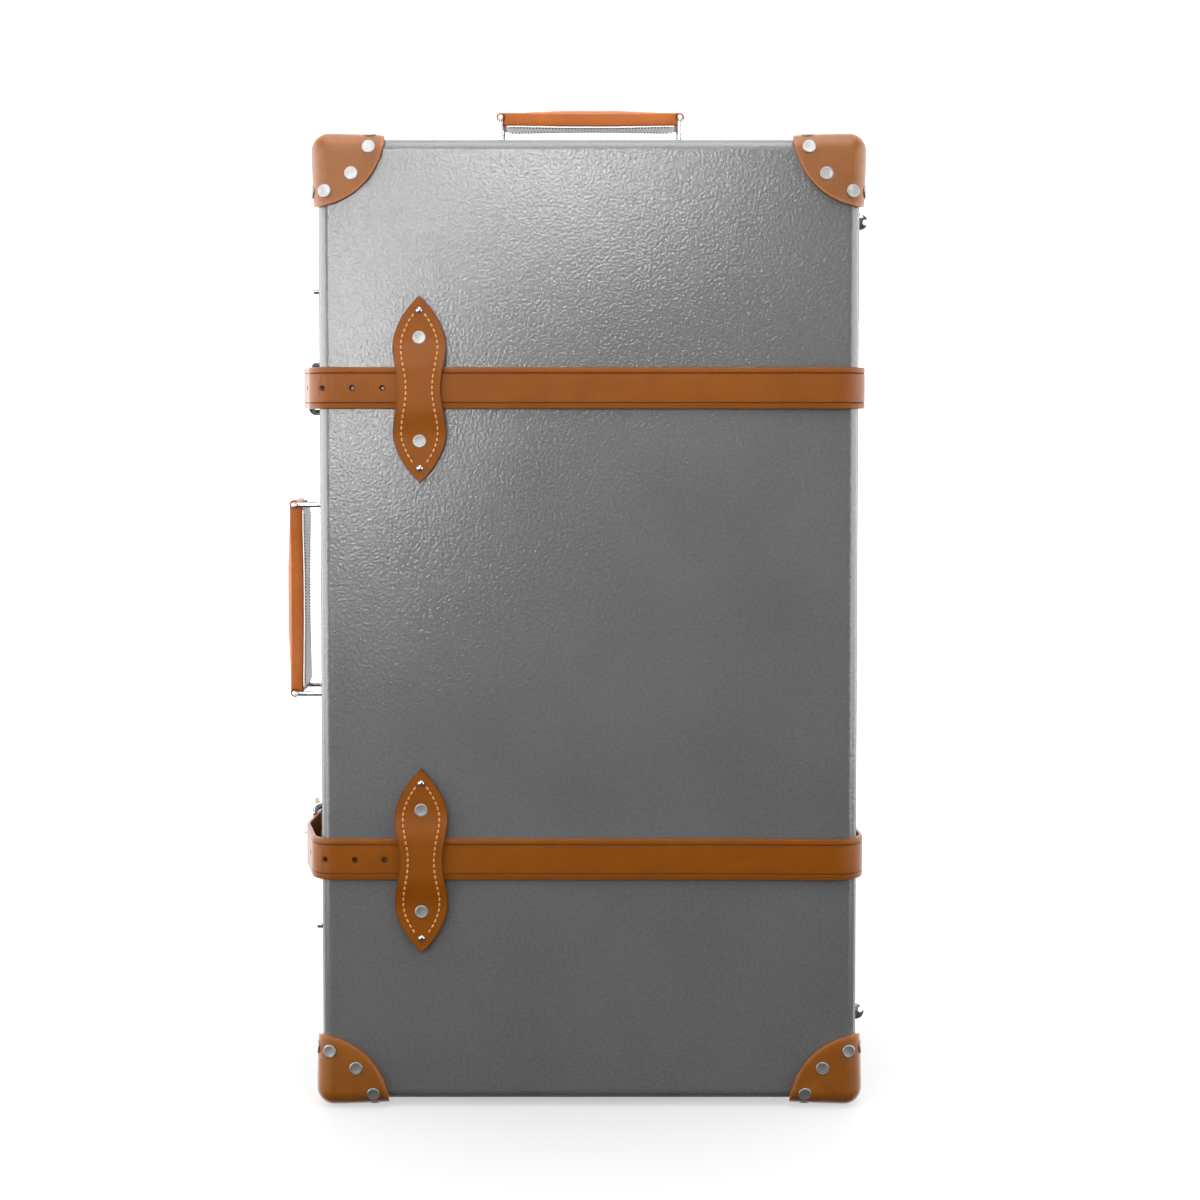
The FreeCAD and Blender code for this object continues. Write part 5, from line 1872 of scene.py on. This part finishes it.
@dataclass
class Studio:
    """Pale floor, soft light and the camera of the photograph."""

    camera_x: float = 0.0144
    camera_z: float = 0.616
    distance: float = 1.62
    lens: float = 56.246
    pitch: float = 2.4
    shift_x: float = -0.0047
    shift_y: float = -0.0976
    room: float = 0.12
    plane_size: float = 14.0
    # The floor's glow is least near the case: a painted shadow round it.
    glow_near: float = 0.12
    glow_far: float = 1.1
    glow_least: float = 0.50
    mirrored_glow: float = 2.3

    def build(self) -> None:
        """Set the stage."""
        self.floor()
        self.backdrop()
        self.sky()
        self.light("upper glare", (-0.13, -1.95, 1.28), (-0.05, -0.1, 0.80), (0.72, 0.16), 1.65, spread=75)
        self.light("left glare", (-0.62, -1.95, 0.78), (-0.15, -0.1, 0.70), (0.15, 0.74), 1.65, spread=75)
        self.light("top softbox", (0.0, -0.7, 2.5), (0, -0.2, 0.2), (2.4, 1.8), 54.0)
        self.light("upper front panel", (0.0, -2.0, 2.0), (0, -0.1, 0.6), (1.8, 1.0), 12.0)
        self.light("left panel", (-1.9, 0.2, 0.7), (0, 0, 0.45), (1.4, 1.8), 30.0)
        self.light("right panel", (1.9, 0.2, 0.7), (0, 0, 0.45), (1.4, 1.8), 23.0)
        self.light("left strip", (-1.7, -1.0, 0.6), (0, 0, 0.45), (1.5, 1.7), 36.0)
        self.light("right strip", (1.7, -1.0, 0.6), (0, 0, 0.45), (1.5, 1.7), 25.0)
        self.camera()

    def floor(self) -> None:
        """A wide pale floor that glows to stay white far off, and glows less near the case: a painted shadow
        round the case.
        """
        clear_selection()
        bpy.ops.mesh.primitive_plane_add(size=self.plane_size, location=(0, 0, 0))
        floor = bpy.context.object
        floor.name = "floor"
        dye = Dye("pale floor")
        away = dye.node("ShaderNodeVectorMath", {0: dye.coordinates}, operation="LENGTH").outputs["Value"]
        dye.feed(
            Base_Color=dye.mix(dye.noise(3, detail=2), (0.21, 0.21, 0.21), (0.22, 0.22, 0.22)),
            Roughness=0.6, Specular_IOR_Level=0.2, Emission_Color=(1, 1, 1, 1),
            # Weaker glow near the case is a painted contact shadow.
            Emission_Strength=dye.level(away, self.glow_least, 1.0, self.glow_near, self.glow_far),
        )
        floor.data.materials.append(dye.material)
        floor.visible_diffuse = False
        floor.visible_glossy = False

    def backdrop(self) -> None:
        """A bright white wall behind the case."""
        clear_selection()
        upright = (math.pi / 2, 0, 0)
        bpy.ops.mesh.primitive_plane_add(size=self.plane_size, location=(0, 2.4, 3), rotation=upright)
        wall = bpy.context.object
        wall.name = "backdrop"
        settle()
        dye = Dye("lit backdrop")
        mirrored = dye.node("ShaderNodeLightPath").outputs["Is Glossy Ray"]
        dye.feed(
            Base_Color=dye.mix(dye.noise(3, detail=2), (0.93, 0.93, 0.93), (0.95, 0.95, 0.95)),
            Roughness=0.8, Emission_Color=(1, 1, 1, 1),
            Emission_Strength=dye.level(mirrored, 1.0, self.mirrored_glow),
        )
        wall.data.materials.append(dye.material)

    def sky(self) -> None:
        """Even white surroundings."""
        world = bpy.data.worlds.new("white studio")
        world.use_nodes = True
        tree = world.node_tree
        background = tree.nodes["Background"]
        background.inputs["Color"].default_value = (1, 1, 1, 1)
        glow = tree.nodes.new("ShaderNodeMapRange")
        glow.inputs["To Min"].default_value = self.room
        glow.inputs["To Max"].default_value = 1.0
        tree.links.new(tree.nodes.new("ShaderNodeLightPath").outputs["Is Camera Ray"], glow.inputs["Value"])
        tree.links.new(glow.outputs["Result"], background.inputs["Strength"])
        scene = bpy.context.scene
        scene.world = world
        scene.view_settings.view_transform = "Standard"
        scene.view_settings.look = "None"

    def light(
        self, name: str, place: Triple, aim: Triple,
        size: tuple[float, float], power: float, spread: float = 180.0,
    ) -> None:
        """Hang one soft light.

        Args:
            name: Name of the light.
            place: Where it hangs.
            aim: What it points at.
            size: Its width and height.
            power: Its power in watts.
            spread: Angle of its beam in degrees.
        """
        lamp = bpy.data.lights.new(name, "AREA")
        lamp.shape = "ELLIPSE"
        lamp.size, lamp.size_y = size
        lamp.energy = power
        lamp.spread = math.radians(spread)
        holder = bpy.data.objects.new(name, lamp)
        bpy.context.scene.collection.objects.link(holder)
        holder.location = Vector(place)
        holder.rotation_euler = (Vector(aim) - Vector(place)).to_track_quat("-Z", "Y").to_euler()

    def camera(self) -> None:
        """The photograph's camera."""
        lens = bpy.data.cameras.new("camera")
        lens.lens = self.lens
        lens.sensor_width = 36
        lens.shift_x = self.shift_x
        lens.shift_y = self.shift_y
        lens.clip_start = 0.01
        holder = bpy.data.objects.new("camera", lens)
        bpy.context.scene.collection.objects.link(holder)
        holder.location = (CASE.middle_x + self.camera_x, -CASE.half_depth - self.distance, self.camera_z)
        holder.rotation_euler = (math.radians(90 - self.pitch), 0, 0)
        bpy.context.scene.camera = holder


def main() -> None:
    """Build every piece in order."""
    logging.basicConfig(level=logging.INFO, format="%(message)s")
    for half in Half:
        CaseHalf(half).build()
        corners = [LeatherCorner(half, level, side) for level in Level for side in (-1, 1)]
        keepers = [Keeper(half, level) for level in Level]
        for corner in corners:
            corner.build()
        for keeper in keepers:
            keeper.build()
        Rivets(half).build(corners, keepers)
        Foot(half).build()
        PlateRivets(half).build()
    for level in Level:
        Strap(level).build()
    for handle in Handle:
        CarryingHandle(handle).build()
    for fitting in fittings():
        fitting.build()
    Studio().build()


if __name__ == "__main__":
    main()
